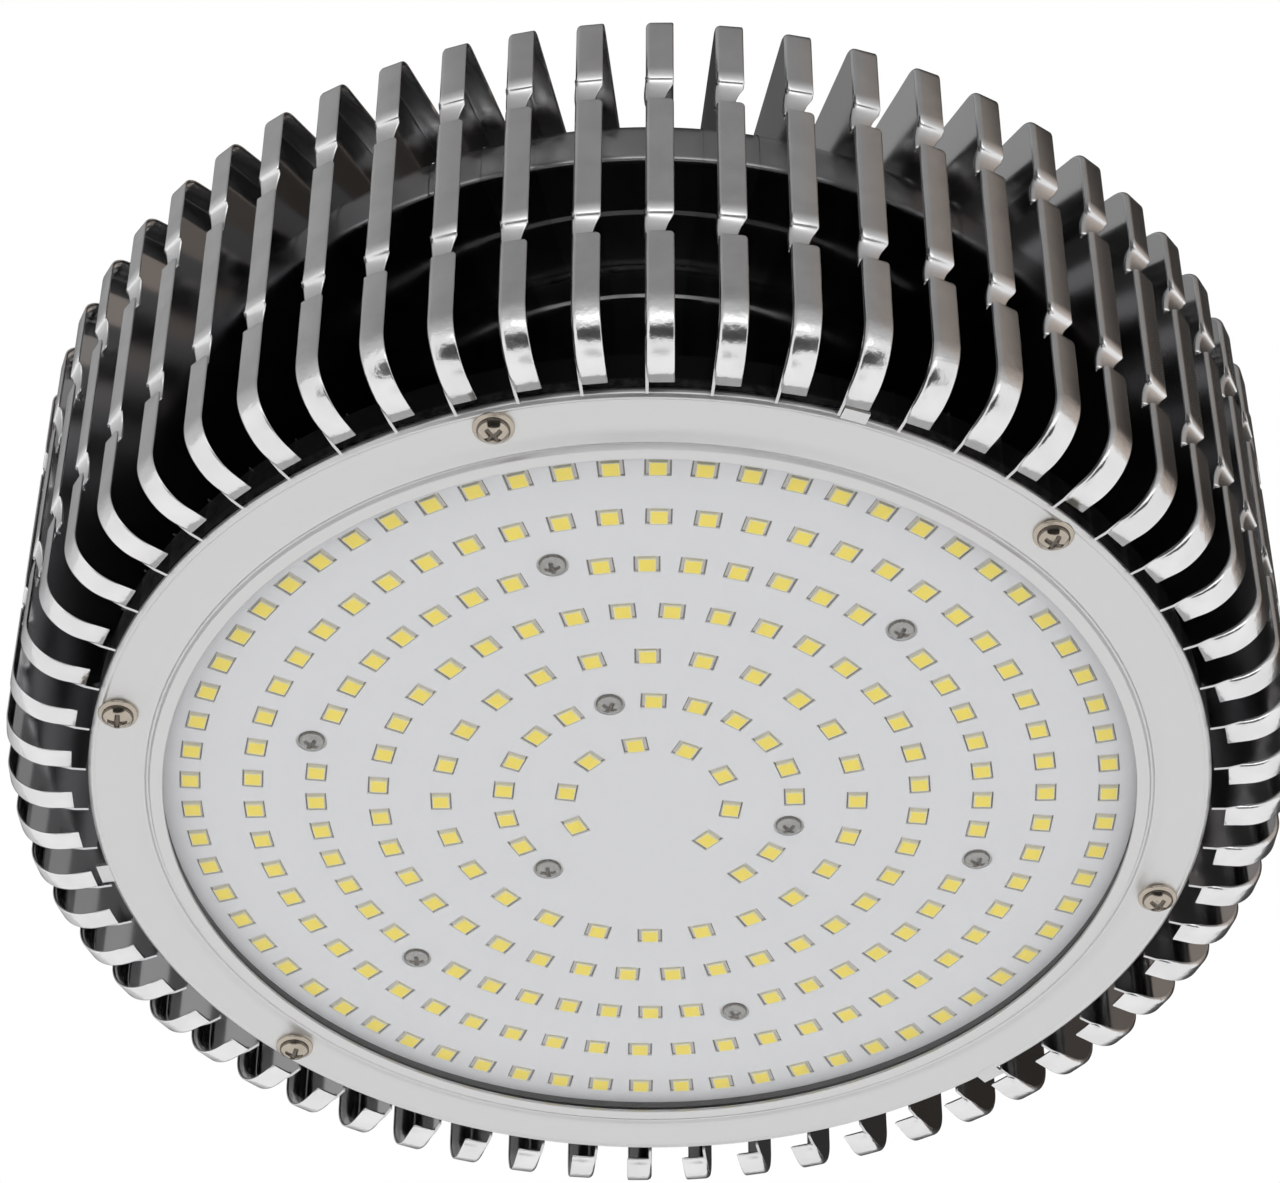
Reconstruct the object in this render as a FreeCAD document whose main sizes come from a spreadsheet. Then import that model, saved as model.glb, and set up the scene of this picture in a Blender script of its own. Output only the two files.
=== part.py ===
import FreeCAD, Part
import Sketcher
import math
import os

# High bay light with a ring of stamped cooling fins, hung by an eye on its top lid.
# Frame: +Z up towards the hanging eye, origin on the lamp's axis at the level of the lowest
# screw heads, so the lamp rests face down on Z = 0.  A bezel screw lies on the +X side.

doc = FreeCAD.newDocument("high_bay_light")

# ------------------------------------------------------------------ driving dimensions (mm, deg)
DIMENSIONS = {
    # light unit
    "led_ring_first": 14.6, "led_ring_step": 11.0, "led_side": 3.0, "led_tall": 0.7,
    "window_long": 4.5, "window_short": 3.7,
    "sheet_radius": 87.4, "sheet_front": 4.85, "sheet_thick": 0.35,
    "board_radius": 88.2, "board_thick": 1.6, "pad_radius": 86.0, "pad_thick": 0.3,
    "blank_place": 20.5, "blank_angle": 78.0, "blank_radius": 13.5, "wire_hole": 4.0,
    "board_screw_ring": 60.5, "board_head": 2.3, "board_head_tall": 1.3,
    "board_shank": 1.25, "board_screw_deep": 5.6, "board_hole_room": 0.4,
    # front ring, lens and their seal
    "bezel_outer": 98.3, "bezel_window": 85.2, "bezel_back": 4.9, "bezel_face": 2.6,
    "bezel_face_in": 1.8, "bezel_lip": 1.2, "lip_outer": 87.3, "groove_wide": 1.2,
    "groove_floor": 2.3, "rim_top": 2.3, "lug_reach": 1.8, "lug_wide": 4.4, "lug_thick": 0.6,
    "lug_angle": 34.75, "lens_radius": 86.8, "lens_back": 3.6, "lens_thick": 1.8,
    "lens_room": 0.3, "seal_inner": 85.6,
    "bezel_screw_ring": 94.3, "collar_radius": 3.5, "collar_thick": 0.6,
    "bezel_head": 2.7, "bezel_shank": 1.5, "bezel_screw_deep": 6.8, "screw_room": 0.1,
    # base plate
    "base_radius": 97.9, "base_top": 12.1, "recess_radius": 89.0,
    # fins
    "fin_count": 60, "fin_phase": 3.0, "fin_sheet": 0.5, "fin_outer": 113.2,
    "fin_inner": 60.0, "fin_top": 81.1, "fin_foot": 2.0, "fin_shelf": 66.9,
    "fin_hug": 98.6, "lid_room": 0.6,
    "flange_wide": 4.7, "flange_end": 101.1,
    "bottom_bend": 8.5, "top_corner": 5.5, "notch_one_top": 65.3, "notch_one_low": 60.5,
    "notch_two_top": 31.9, "notch_two_low": 25.8, "tongue_in": 2.3, "tongue_narrow": 0.9,
    "tongue_gap": 0.7,
    "fin_gap": 0.3,
    # top lid and its screws
    "lid_radius": 93.6, "lid_top": 81.1, "lid_sheet": 1.2, "lid_corner": 4.0,
    "lid_boss": 17.0, "lid_boss_tall": 2.0, "lid_screw_ring": 53.0, "lid_head": 3.6,
    "lid_head_tall": 2.3, "lid_shank": 2.0, "lid_screw_deep": 11.0,
    # driver housing
    "house_radius": 58.0, "house_wall": 2.0, "house_floor": 2.5, "post_radius": 4.4,
    "house_screw_ring": 44.0, "house_head": 3.4, "house_head_tall": 1.8,
    "house_shank": 1.7, "house_screw_deep": 6.6,
    # driver
    "driver_long": 72.0, "driver_wide": 50.0, "driver_thick": 1.6, "standoff_tall": 9.0,
    "standoff_radius": 2.6, "standoff_in": 5.0, "driver_head": 2.6, "driver_head_tall": 1.8,
    "core_long": 26.0, "core_wide": 20.0, "core_tall": 20.0, "core_limb": 6.0,
    "coil_room": 0.6, "big_can": 8.0, "big_can_tall": 30.0, "small_can": 5.0,
    "small_can_tall": 20.0, "choke_ring": 8.0, "choke_wire": 3.6, "strip_long": 44.0,
    "strip_tall": 24.0, "strip_thick": 2.0, "chip_wide": 10.0, "chip_tall": 15.0,
    "chip_thick": 4.4, "block_long": 20.0, "block_wide": 9.0, "block_tall": 10.0,
    "block_hole": 1.6, "block_pitch": 6.0,
    # hanging eye with its nut and washer
    "eye_hole": 12.0, "eye_limb": 8.0, "eye_land": 5.0, "eye_stem": 5.0,
    "eye_collar": 10.0, "eye_collar_tall": 4.0, "eye_neck": 4.0, "washer_radius": 11.0,
    "washer_thick": 2.0, "nut_flats": 16.0, "nut_tall": 8.0, "stem_spare": 3.0,
    "stem_room": 0.25,
    # cable gland
    "gland_place": 34.0, "gland_angle": 180.0, "gland_hex": 22.0, "gland_hex_tall": 5.0,
    "gland_thread": 8.0, "gland_below": 9.0, "gland_bore": 4.2, "gland_cap_tall": 11.0,
    "gland_collet": 6.8, "gland_collet_tall": 7.0, "locknut_hex": 21.0, "locknut_tall": 4.0,
    "gland_room": 0.15,
}

dims = doc.addObject("Spreadsheet::Sheet", "dims")
for row, (alias, value) in enumerate(DIMENSIONS.items(), start=1):
    dims.set(f"A{row}", alias)
    dims.set(f"B{row}", str(value))
    dims.setAlias(f"B{row}", alias)
doc.recompute()

SUBPARTS = []
UPRIGHT = FreeCAD.Placement(FreeCAD.Vector(), FreeCAD.Rotation(FreeCAD.Vector(0, 0, 1), 0))


def size(expression):
    """The number that an expression on the sheet's aliases gives."""
    return float(dims.evalExpression(expression))


def named(expression):
    """The same expression with each alias written as a cell of the sheet."""
    words = []
    word = ""
    for letter in expression + " ":
        if letter.isalnum() or letter in "_.":
            word += letter
        else:
            words.append(f"dims.{word}" if word in DIMENSIONS else word)
            words.append(letter)
            word = ""
    return "".join(words).strip()


def bind(thing, **sizes):
    """Bind each property of an object to its expression on the sheet."""
    for name, expression in sizes.items():
        thing.setExpression(name.replace("__", "."), named(expression))


def keep(thing, label):
    """Label an object as a finished sub-part, which is written to parts/label.step."""
    thing.Label = label
    SUBPARTS.append(thing)
    return thing


def plane(body, role):
    return next(item for item in body.Origin.OriginFeatures if item.Role == role)


def outline(body, role, points, name):
    """A closed polygon sketch: each corner is a pair of expressions for its two coordinates."""
    sketch = body.newObject("Sketcher::SketchObject", name)
    sketch.AttachmentSupport = [(plane(body, role), "")]
    sketch.MapMode = "FlatFace"
    corners = [FreeCAD.Vector(size(across), size(up), 0) for across, up in points]
    count = len(corners)
    sketch.addGeometry([Part.LineSegment(corners[i], corners[(i + 1) % count])
                        for i in range(count)])
    for i in range(count):
        sketch.addConstraint(Sketcher.Constraint("Coincident", i, 2, (i + 1) % count, 1))
    for i, (across, up) in enumerate(points):
        for kind, expression, axis in (("DistanceX", across, -2), ("DistanceY", up, -1)):
            value = size(expression)
            if abs(value) < 1e-9:
                sketch.addConstraint(Sketcher.Constraint("PointOnObject", i, 1, axis))
                continue
            place = sketch.addConstraint(Sketcher.Constraint(kind, -1, 1, i, 1, value))
            sketch.setExpression(f"Constraints[{place}]", named(expression))
    return sketch


def turned(name, points):
    """A body turned about the lamp's axis: points are (radius, height) expressions."""
    body = doc.addObject("PartDesign::Body", name)
    sketch = outline(body, "XZ_Plane", points, name + "_profile")
    revolve = body.newObject("PartDesign::Revolution", name + "_turn")
    revolve.Profile = sketch
    revolve.ReferenceAxis = (sketch, ["V_Axis"])
    revolve.Angle = 360
    body.Tip = revolve
    return body


def cylinder(name, radius, tall, base, across="0", angle="0"):
    """An upright cylinder from the height base, at a distance and angle from the axis."""
    rod = doc.addObject("Part::Cylinder", name)
    bind(rod, Radius=radius, Height=tall, Placement__Base__z=base)
    bind(rod, Placement__Base__x=f"({across})*cos({angle})")
    bind(rod, Placement__Base__y=f"({across})*sin({angle})")
    return rod


def copies(name, master, places, turn_with=True):
    """A compound of links to one master: places are (distance, angle) expressions."""
    held = doc.addObject("Part::Compound", name + "_master")
    held.Links = [master]
    links = []
    for i, (across, angle) in enumerate(places):
        link = doc.addObject("App::Link", f"{name}_{i + 1}")
        link.LinkedObject = held
        link.Placement = UPRIGHT
        bind(link, Placement__Base__x=f"({across})*cos({angle})")
        bind(link, Placement__Base__y=f"({across})*sin({angle})")
        if turn_with:
            bind(link, Placement__Rotation__Angle=angle)
        links.append(link)
    group = doc.addObject("Part::Compound", name)
    group.Links = links
    return group


def cut(name, base, tools):
    """One shape less a list of tools."""
    result = doc.addObject("Part::Cut", name)
    result.Base = base
    if len(tools) == 1:
        result.Tool = tools[0]
    else:
        joined = doc.addObject("Part::Compound", name + "_tools")
        joined.Links = tools
        result.Tool = joined
    return result


def fuse(name, shapes):
    result = doc.addObject("Part::MultiFuse", name)
    result.Shapes = shapes
    return result


# ------------------------------------------------------------------ where the light unit's pieces go
SCREW_ANGLES = [f"{60 * i} deg" for i in range(6)]
BEZEL_SCREWS = [("bezel_screw_ring", angle) for i, angle in enumerate(SCREW_ANGLES) if i != 1]
OUTER_BOARD_SCREWS = [("board_screw_ring", angle) for angle in SCREW_ANGLES]
INNER_BOARD_SCREWS = [("led_ring_first + led_ring_step", angle) for angle in SCREW_ANGLES[::2]]

# Each ring of emitters: how many places it has, and the angle of its first place.
LED_RINGS = [(10, 30.0), (21, 0.0), (24, 0.0), (36, 0.0), (48, 0.0), (54, 10 / 3), (66, 0.0)]


def led_places():
    """The places of every ring, less those taken by board screws or the blank wiring patch."""
    blank = (size("blank_place"), math.radians(size("blank_angle")))
    blank_x = blank[0] * math.cos(blank[1])
    blank_y = blank[0] * math.sin(blank[1])
    screws = [(size(r), float(a.split()[0])) for r, a in OUTER_BOARD_SCREWS + INNER_BOARD_SCREWS]
    room = size("board_head + window_long/2 + 0.2")
    rings = []
    for ring, (count, first) in enumerate(LED_RINGS):
        across = f"led_ring_first + {ring}*led_ring_step"
        distance = size(across)
        places = []
        for i in range(count):
            angle = first + 360.0 * i / count
            x = distance * math.cos(math.radians(angle))
            y = distance * math.sin(math.radians(angle))
            if math.hypot(x - blank_x, y - blank_y) < size("blank_radius"):
                continue
            if any(math.hypot(x - r * math.cos(math.radians(a)), y - r * math.sin(math.radians(a)))
                   < room for r, a in screws):
                continue
            places.append((across, f"{angle:.6f} deg"))
        rings.append(places)
    return rings


RINGS = led_places()
ALL_LEDS = [place for ring in RINGS for place in ring]


def box(name, long, wide, tall, across="0", aside="0", base="0"):
    """A block centred on (across, aside), standing on the height base."""
    block = doc.addObject("Part::Box", name)
    bind(block, Length=long, Width=wide, Height=tall)
    bind(block, Placement__Base__x=f"({across}) - ({long})/2")
    bind(block, Placement__Base__y=f"({aside}) - ({wide})/2")
    bind(block, Placement__Base__z=base)
    return block


def round_screw(name, seat, head, head_tall, shank, deep, collar=None):
    """A round-headed screw pointing up from its seat, with an optional collar under its head."""
    points = [("0", f"{seat} - {head_tall}"), (f"{head}*0.6", f"{seat} - {head_tall}"),
              (f"{head}*0.93", f"{seat} - {head_tall}*0.7")]
    if collar:
        points += [(head, f"{seat} - {collar[1]}"), (collar[0], f"{seat} - {collar[1]}"),
                   (collar[0], seat)]
    else:
        points += [(head, f"{seat} - {head_tall}*0.35"), (head, seat)]
    points += [(shank, seat), (shank, f"{seat} + {deep} - {shank}*0.5"),
               (f"{shank}*0.5", f"{seat} + {deep}"), ("0", f"{seat} + {deep}")]
    return turned(name, points)


def down_screw(name, seat, head, head_tall, shank, deep):
    """The same kind of screw with its head on top, pointing down."""
    return turned(name, [
        ("0", f"{seat} + {head_tall}"), (f"{head}*0.6", f"{seat} + {head_tall}"),
        (f"{head}*0.93", f"{seat} + {head_tall}*0.7"), (head, f"{seat} + {head_tall}*0.35"),
        (head, seat), (shank, seat), (shank, f"{seat} - {deep} + {shank}*0.5"),
        (f"{shank}*0.5", f"{seat} - {deep}"), ("0", f"{seat} - {deep}")])


# ------------------------------------------------------------------ bezel ring
# Turned aluminium ring: a broad face that dips to a thin lip over the lens, a groove beside
# the lip, a rounded rim, and three flat lugs that reach between the fins' feet.
LENS_FRONT = "lens_back - lens_thick"
bezel_blank = turned("bezel_blank", [
    ("bezel_window", "bezel_lip"), ("lip_outer", "bezel_lip"),
    ("lip_outer + groove_wide/4", "groove_floor"),
    ("lip_outer + groove_wide*3/4", "groove_floor"),
    ("lip_outer + groove_wide", "bezel_face_in"), ("bezel_screw_ring - collar_radius", "bezel_face"),
    ("bezel_outer - 1.1", "bezel_face"), ("bezel_outer - 0.7", "rim_top"),
    ("bezel_outer - 0.25", "rim_top + 0.15"), ("bezel_outer", "rim_top + 0.6"),
    ("bezel_outer", "bezel_back"), ("board_radius + lens_room", "bezel_back"),
    ("board_radius + lens_room", "lens_back"), ("lens_radius + lens_room", "lens_back"),
    ("lens_radius + lens_room", LENS_FRONT), ("bezel_window", LENS_FRONT)])
lug = box("lug", "lug_reach + 2", "lug_wide", "lug_thick",
          "bezel_outer + lug_reach/2 - 1", "0", "bezel_face")
lugs = copies("lugs", lug, [("0", f"lug_angle*1 deg + {120 * i} deg") for i in range(3)])
bezel_hole = cylinder("bezel_hole", "bezel_shank + screw_room", "bezel_back", "0")
bezel_seat = cylinder("bezel_seat", "collar_radius + 0.3", "bezel_face", "0")
keep(cut("bezel", fuse("bezel_with_lugs", [bezel_blank, lugs]),
         [copies("bezel_holes", bezel_hole, BEZEL_SCREWS),
          copies("bezel_seats", bezel_seat, BEZEL_SCREWS)]), "bezel_ring")

bezel_screw = round_screw("bezel_screw", "bezel_face", "bezel_head", "bezel_face", "bezel_shank",
                          "bezel_screw_deep", ("collar_radius", "collar_thick"))
keep(copies("bezel_screw_set", bezel_screw, BEZEL_SCREWS), "bezel_screws")

# ------------------------------------------------------------------ lens and seal
keep(turned("lens", [("0", LENS_FRONT), ("lens_radius", LENS_FRONT),
                     ("lens_radius", "lens_back"), ("0", "lens_back")]), "clear_lens")
keep(turned("seal", [("seal_inner", "lens_back"), ("lens_radius", "lens_back"),
                     ("lens_radius", "sheet_front"), ("seal_inner", "sheet_front")]), "lens_seal")

# ------------------------------------------------------------------ emitters
BOARD_FRONT = "sheet_front + sheet_thick"
emitter = box("emitter", "led_side", "led_side", "led_tall", "0", "0", f"{BOARD_FRONT} - led_tall")
for ring, places in enumerate(RINGS):
    keep(copies(f"emitters_{ring + 1}", emitter, places), f"led_ring_{ring + 1}")

# ------------------------------------------------------------------ white sheet with its windows
sheet_disc = cylinder("sheet_disc", "sheet_radius", "sheet_thick", "sheet_front")
window = box("window", "window_short", "window_long", "sheet_thick*3", "0", "0",
             "sheet_front - sheet_thick")
sheet_screw_hole = cylinder("sheet_screw_hole", "board_head + board_hole_room",
                            "sheet_thick*3", "sheet_front - sheet_thick")
keep(cut("sheet", sheet_disc, [
    copies("windows", window, ALL_LEDS),
    copies("sheet_screw_holes", sheet_screw_hole, OUTER_BOARD_SCREWS + INNER_BOARD_SCREWS)]),
    "reflector_sheet")

# ------------------------------------------------------------------ board, pad, board screws
BOARD_BACK = f"{BOARD_FRONT} + board_thick"
PAD_BACK = f"{BOARD_BACK} + pad_thick"
board_hole = cylinder("board_hole", "board_shank + screw_room", "base_top", "0")
wire_hole = cylinder("wire_way", "wire_hole", "base_top*2", "0", "blank_place",
                     "blank_angle*1 deg")


def drilled(name, disc):
    """A disc with the holes of the board screws and of the wires."""
    return cut(name, disc, [copies(name + "_outer_holes", board_hole, OUTER_BOARD_SCREWS),
                            copies(name + "_inner_holes", board_hole, INNER_BOARD_SCREWS),
                            wire_hole])


keep(drilled("board", cylinder("board_disc", "board_radius", "board_thick", BOARD_FRONT)),
     "led_board")
keep(drilled("pad", cylinder("pad_disc", "pad_radius", "pad_thick", BOARD_BACK)), "thermal_pad")
board_screw = round_screw("board_screw", BOARD_FRONT, "board_head", "board_head_tall",
                          "board_shank", "board_screw_deep")
keep(copies("outer_screw_set", board_screw, OUTER_BOARD_SCREWS), "board_screws_outer")
keep(copies("inner_screw_set", board_screw, INNER_BOARD_SCREWS), "board_screws_inner")

# ------------------------------------------------------------------ base plate
# A thick aluminium plate with a rim ring: the board lies in its recess, the bezel is screwed
# to its rim, the fins stand around it and the driver housing is screwed on top.
plate_blank = turned("plate_blank", [
    ("0", PAD_BACK), ("recess_radius", PAD_BACK), ("recess_radius", "bezel_back"),
    ("base_radius", "bezel_back"), ("base_radius", "base_top"), ("0", "base_top")])
tapped = cylinder("tapped", "bezel_shank", "bezel_screw_deep", "bezel_face")
board_tapped = cylinder("board_tapped", "board_shank", "board_screw_deep", BOARD_FRONT)
house_tapped = cylinder("house_tapped", "house_shank", "house_screw_deep",
                        "base_top + house_floor - house_screw_deep")
HOUSE_SCREWS = [("house_screw_ring", f"{45 + 90 * i} deg") for i in range(4)]
keep(cut("plate", plate_blank, [
    copies("rim_holes", tapped, BEZEL_SCREWS),
    copies("board_holes", board_tapped, OUTER_BOARD_SCREWS + INNER_BOARD_SCREWS),
    copies("house_holes", house_tapped, HOUSE_SCREWS), wire_hole]), "base_plate")

# ------------------------------------------------------------------ stamped fins
# Each fin is one stamping: a thin radial plate whose outer, lower and upper edges are folded
# over to one side.  The folded edge carries two notches with a curled tongue above each, the
# bottom sweeps round in a wide bend that stops short of the base plate.  A second fold inside
# lies on the base plate, where the fin is soldered.
fin = doc.addObject("PartDesign::Body", "fin")
fin_plate = outline(fin, "XZ_Plane", [
    ("fin_hug", "fin_foot"), ("fin_outer", "fin_foot"), ("fin_outer", "fin_top"),
    ("lid_radius + lid_room", "fin_top"), ("lid_radius + lid_room", "fin_shelf"),
    ("fin_inner", "fin_shelf"), ("fin_inner", "base_top"), ("fin_hug", "base_top")], "fin_outline")
fin_pad = fin.newObject("PartDesign::Pad", "fin_pad")
fin_pad.Profile = fin_plate
bind(fin_pad, Length="flange_wide")
fin_pad.Reversed = True
doc.recompute()


def edge_at(shape, across, up):
    """The name of the upright-to-sheet edge that passes through (across, up)."""
    for i, edge in enumerate(shape.Edges):
        box = edge.BoundBox
        flat = box.XLength < 1e-6 and box.ZLength < 1e-6
        if flat and abs(box.XMin - across) < 1e-6 and abs(box.ZMin - up) < 1e-6:
            return f"Edge{i + 1}"
    raise ValueError("no such edge")


def rounded(before, name, across, up, radius):
    feature = fin.newObject("PartDesign::Fillet", name)
    feature.Base = (before, [edge_at(before.Shape, size(across), size(up))])
    bind(feature, Radius=radius)
    fin.Tip = feature
    doc.recompute()


def trimmed(name, points, start, reach):
    """Cut an outline drawn in the fin's plane, from one depth across the fold for a reach."""
    sketch = outline(fin, "XZ_Plane", points, name + "_outline")
    bind(sketch, AttachmentOffset__Base__z=f"-({start})")
    pocket = fin.newObject("PartDesign::Pocket", name)
    pocket.Profile = sketch
    bind(pocket, Length=reach)
    fin.Tip = pocket
    return pocket


trimmed("fold_inside", [
    ("fin_inner - 1", "base_top + fin_sheet"), ("fin_hug - 1", "base_top + fin_sheet"),
    ("fin_hug - 1", "fin_foot + fin_sheet"), ("fin_outer - fin_sheet", "fin_foot + fin_sheet"),
    ("fin_outer - fin_sheet", "fin_top - fin_sheet"), ("fin_inner - 1", "fin_top - fin_sheet")],
    "fin_sheet", "flange_wide")
doc.recompute()
for name, inset, radius, up in (("bottom", "fin_sheet", "bottom_bend", "fin_foot + "),
                                ("top", "fin_sheet", "top_corner", "fin_top - ")):
    rounded(fin.Tip, f"{name}_bend_inside", f"fin_outer - {inset}", up + inset,
            f"{radius} - {inset}")
    rounded(fin.Tip, f"{name}_bend", "fin_outer", up + "0", radius)

# The outer fold stops short of the base plate's edge.
trimmed("flange_stop", [("fin_hug - 1", "fin_foot - 1"), ("flange_end", "fin_foot - 1"),
                        ("flange_end", "fin_foot + fin_sheet + 0.2"),
                        ("fin_hug - 1", "fin_foot + fin_sheet + 0.2")],
        "fin_sheet", "flange_wide")
NOTCHES = [("one", "notch_one_top", "notch_one_low"), ("two", "notch_two_top", "notch_two_low")]
for name, top, low in NOTCHES:
    tip = f"({low} + tongue_gap)"
    middle = f"({top} - ({top} - {tip})*0.55)"
    half_in = "fin_outer - tongue_in*0.35"
    trimmed(f"notch_{name}", [("fin_outer - tongue_in", low), ("fin_outer + 1", low),
                              ("fin_outer + 1", top), ("fin_outer - tongue_in", top)],
            "fin_sheet", "flange_wide")
    trimmed(f"notch_{name}_edge", [("fin_outer - tongue_in", low), ("fin_outer + 1", low),
                                   ("fin_outer + 1", top), ("fin_outer", top),
                                   (half_in, middle), ("fin_outer - tongue_in", tip)],
            "-0.1", "fin_sheet + 0.1")
    tongue_sketch = outline(fin, "XZ_Plane", [
        ("fin_outer", top), (half_in, middle), ("fin_outer - tongue_in", tip),
        ("fin_outer - tongue_in - fin_sheet", tip), (half_in + " - fin_sheet", middle),
        ("fin_outer - fin_sheet", top)], f"tongue_{name}_outline")
    tongue = fin.newObject("PartDesign::Pad", f"tongue_{name}")
    tongue.Profile = tongue_sketch
    tongue.Reversed = True
    bind(tongue, Length="flange_wide - tongue_narrow")
    fin.Tip = tongue

doc.recompute()

PACKS = 12
PER_PACK = 5
for pack in range(PACKS):
    turns = [("0", f"fin_phase*1 deg + 360 deg/fin_count*{pack * PER_PACK + i}")
             for i in range(PER_PACK)]
    keep(copies(f"fins_{pack + 1:02d}", fin, turns), f"fin_pack_{pack + 1:02d}")

# ------------------------------------------------------------------ driver housing
# A drawn aluminium cup that stands on the base plate inside the fins, with four posts for the
# lid's screws.
LID_UNDER = "lid_top - lid_sheet"
FLOOR_TOP = "base_top + house_floor"
cup = turned("cup", [
    ("0", "base_top"), ("house_radius", "base_top"), ("house_radius", LID_UNDER),
    ("house_radius - house_wall", LID_UNDER), ("house_radius - house_wall", FLOOR_TOP),
    ("0", FLOOR_TOP)])
post = cylinder("post", "post_radius", f"{LID_UNDER} - base_top - 1", "base_top + 1")
LID_SCREWS = [("lid_screw_ring", f"{90 * i} deg") for i in range(4)]
post_hole = cylinder("post_hole", "lid_shank", "lid_screw_deep + 0.5",
                     "lid_top - lid_screw_deep - 0.5")
floor_hole = cylinder("floor_hole", "house_shank + screw_room", "house_floor*3",
                      "base_top - house_floor")
STANDOFFS = [(f"({x}*(driver_long/2 - standoff_in))", f"({y}*(driver_wide/2 - standoff_in))")
             for x in (-1, 1) for y in (-1, 1)]


def grid(name, master, places):
    """Copies of a master at (x, y) expressions, none of them turned."""
    held = doc.addObject("Part::Compound", name + "_master")
    held.Links = [master]
    links = []
    for i, (x, y) in enumerate(places):
        link = doc.addObject("App::Link", f"{name}_{i + 1}")
        link.LinkedObject = held
        bind(link, Placement__Base__x=x, Placement__Base__y=y)
        links.append(link)
    group = doc.addObject("Part::Compound", name)
    group.Links = links
    return group


keep(cut("housing", fuse("cup_with_posts", [cup, copies("posts", post, LID_SCREWS)]),
         [copies("post_holes", post_hole, LID_SCREWS),
          copies("floor_holes", floor_hole, HOUSE_SCREWS), wire_hole]), "driver_housing")
keep(copies("house_screw_set", down_screw("house_screw", FLOOR_TOP, "house_head",
                                          "house_head_tall", "house_shank", "house_screw_deep"),
            HOUSE_SCREWS), "housing_screws")

# ------------------------------------------------------------------ driver
DRIVER_UNDER = f"{FLOOR_TOP} + standoff_tall"
DRIVER_TOP = f"{DRIVER_UNDER} + driver_thick"
driver_plate = box("driver_plate", "driver_long", "driver_wide", "driver_thick", "0", "0",
                   DRIVER_UNDER)
driver_hole = cylinder("driver_hole", "house_shank + screw_room", "driver_thick*3",
                       f"{DRIVER_UNDER} - driver_thick")
keep(cut("driver_drilled", driver_plate, [grid("driver_holes", driver_hole, STANDOFFS)]),
     "driver_board")
standoff = cut("standoff", cylinder("standoff_rod", "standoff_radius", "standoff_tall",
                                    FLOOR_TOP),
               [cylinder("standoff_bore", "house_shank", "standoff_tall - 1", f"{FLOOR_TOP} + 1")])
keep(grid("standoff_set", standoff, STANDOFFS), "driver_standoffs")
keep(grid("driver_screw_set", down_screw("driver_screw", DRIVER_TOP, "driver_head",
                                         "driver_head_tall", "house_shank", "standoff_tall - 1.5"),
          STANDOFFS), "driver_screws")

core_block = box("core_block", "core_long", "core_wide", "core_tall", "8", "0", DRIVER_TOP)
core_window = box("core_window", "core_long*2", "core_wide - core_limb*2/1.5",
                  "core_tall - core_limb", "8", "0", f"{DRIVER_TOP} + core_limb/2")
core_limb = box("core_centre", "core_limb", "core_wide", "core_tall - 0.1", "8", "0",
                f"{DRIVER_TOP} + 0.05")
coil_outer = box("coil_outer", "core_long - 4", "core_wide - core_limb*2/1.5 - coil_room",
                 "core_tall - core_limb - coil_room", "8", "0",
                 f"{DRIVER_TOP} + core_limb/2 + coil_room/2")
coil_bore = box("coil_bore", "core_limb + coil_room", "core_wide",
                "core_tall", "8", "0", DRIVER_TOP)
keep(cut("core_open", core_block, [core_window]), "transformer_core")
keep(coil_outer, "transformer_coil")

big_can = turned("big_can", [("0", DRIVER_TOP), ("big_can", DRIVER_TOP),
                             ("big_can", f"{DRIVER_TOP} + big_can_tall - 1"),
                             ("big_can - 1", f"{DRIVER_TOP} + big_can_tall"),
                             ("0", f"{DRIVER_TOP} + big_can_tall")])
keep(grid("big_can_set", big_can, [("-driver_long/2 + 14", "9"), ("-driver_long/2 + 14", "-9")]),
     "driver_capacitors")
keep(turned("choke_ring_body", [
    ("choke_ring - choke_wire", f"{DRIVER_TOP} + 0.6"), ("choke_ring", f"{DRIVER_TOP} + 0.6"),
    ("choke_ring", f"{DRIVER_TOP} + 7"), ("choke_ring - choke_wire", f"{DRIVER_TOP} + 7")]),
    "driver_choke")


strip_y = "driver_wide/2 - 5"
keep(box("strip", "strip_long", "strip_thick", "strip_tall", "0", strip_y, DRIVER_TOP),
     "driver_heat_strip")
chip = box("chip", "chip_wide", "chip_thick", "chip_tall", "0",
           f"{strip_y} - strip_thick/2 - chip_thick/2", f"{DRIVER_TOP} + 6")
keep(grid("chip_set", chip, [("-14", "0"), ("14", "0")]), "driver_transistors")
small_can = turned("small_can", [
    ("0", DRIVER_TOP), ("small_can", DRIVER_TOP),
    ("small_can", f"{DRIVER_TOP} + small_can_tall - 0.8"),
    ("small_can - 0.8", f"{DRIVER_TOP} + small_can_tall"), ("0", f"{DRIVER_TOP} + small_can_tall")])
keep(grid("small_can_set", small_can, [("driver_long/2 - 8", "-driver_wide/2 + 20")]),
     "output_capacitor")
block = box("block", "block_wide", "block_long", "block_tall", "driver_long/2 - 8", "5",
            DRIVER_TOP)
block_way = doc.addObject("Part::Cylinder", "block_way")
bind(block_way, Radius="block_hole", Height="block_wide")
block_way.Placement = FreeCAD.Placement(FreeCAD.Vector(), FreeCAD.Rotation(FreeCAD.Vector(0, 1, 0), 90))
bind(block_way, Placement__Base__x="driver_long/2 - 8", Placement__Base__z=f"{DRIVER_TOP} + 4")
keep(cut("block_drilled", block, [grid("block_ways", block_way, [
    ("0", "5 - block_pitch"), ("0", "5"), ("0", "5 + block_pitch")])]), "terminal_block")

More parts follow.
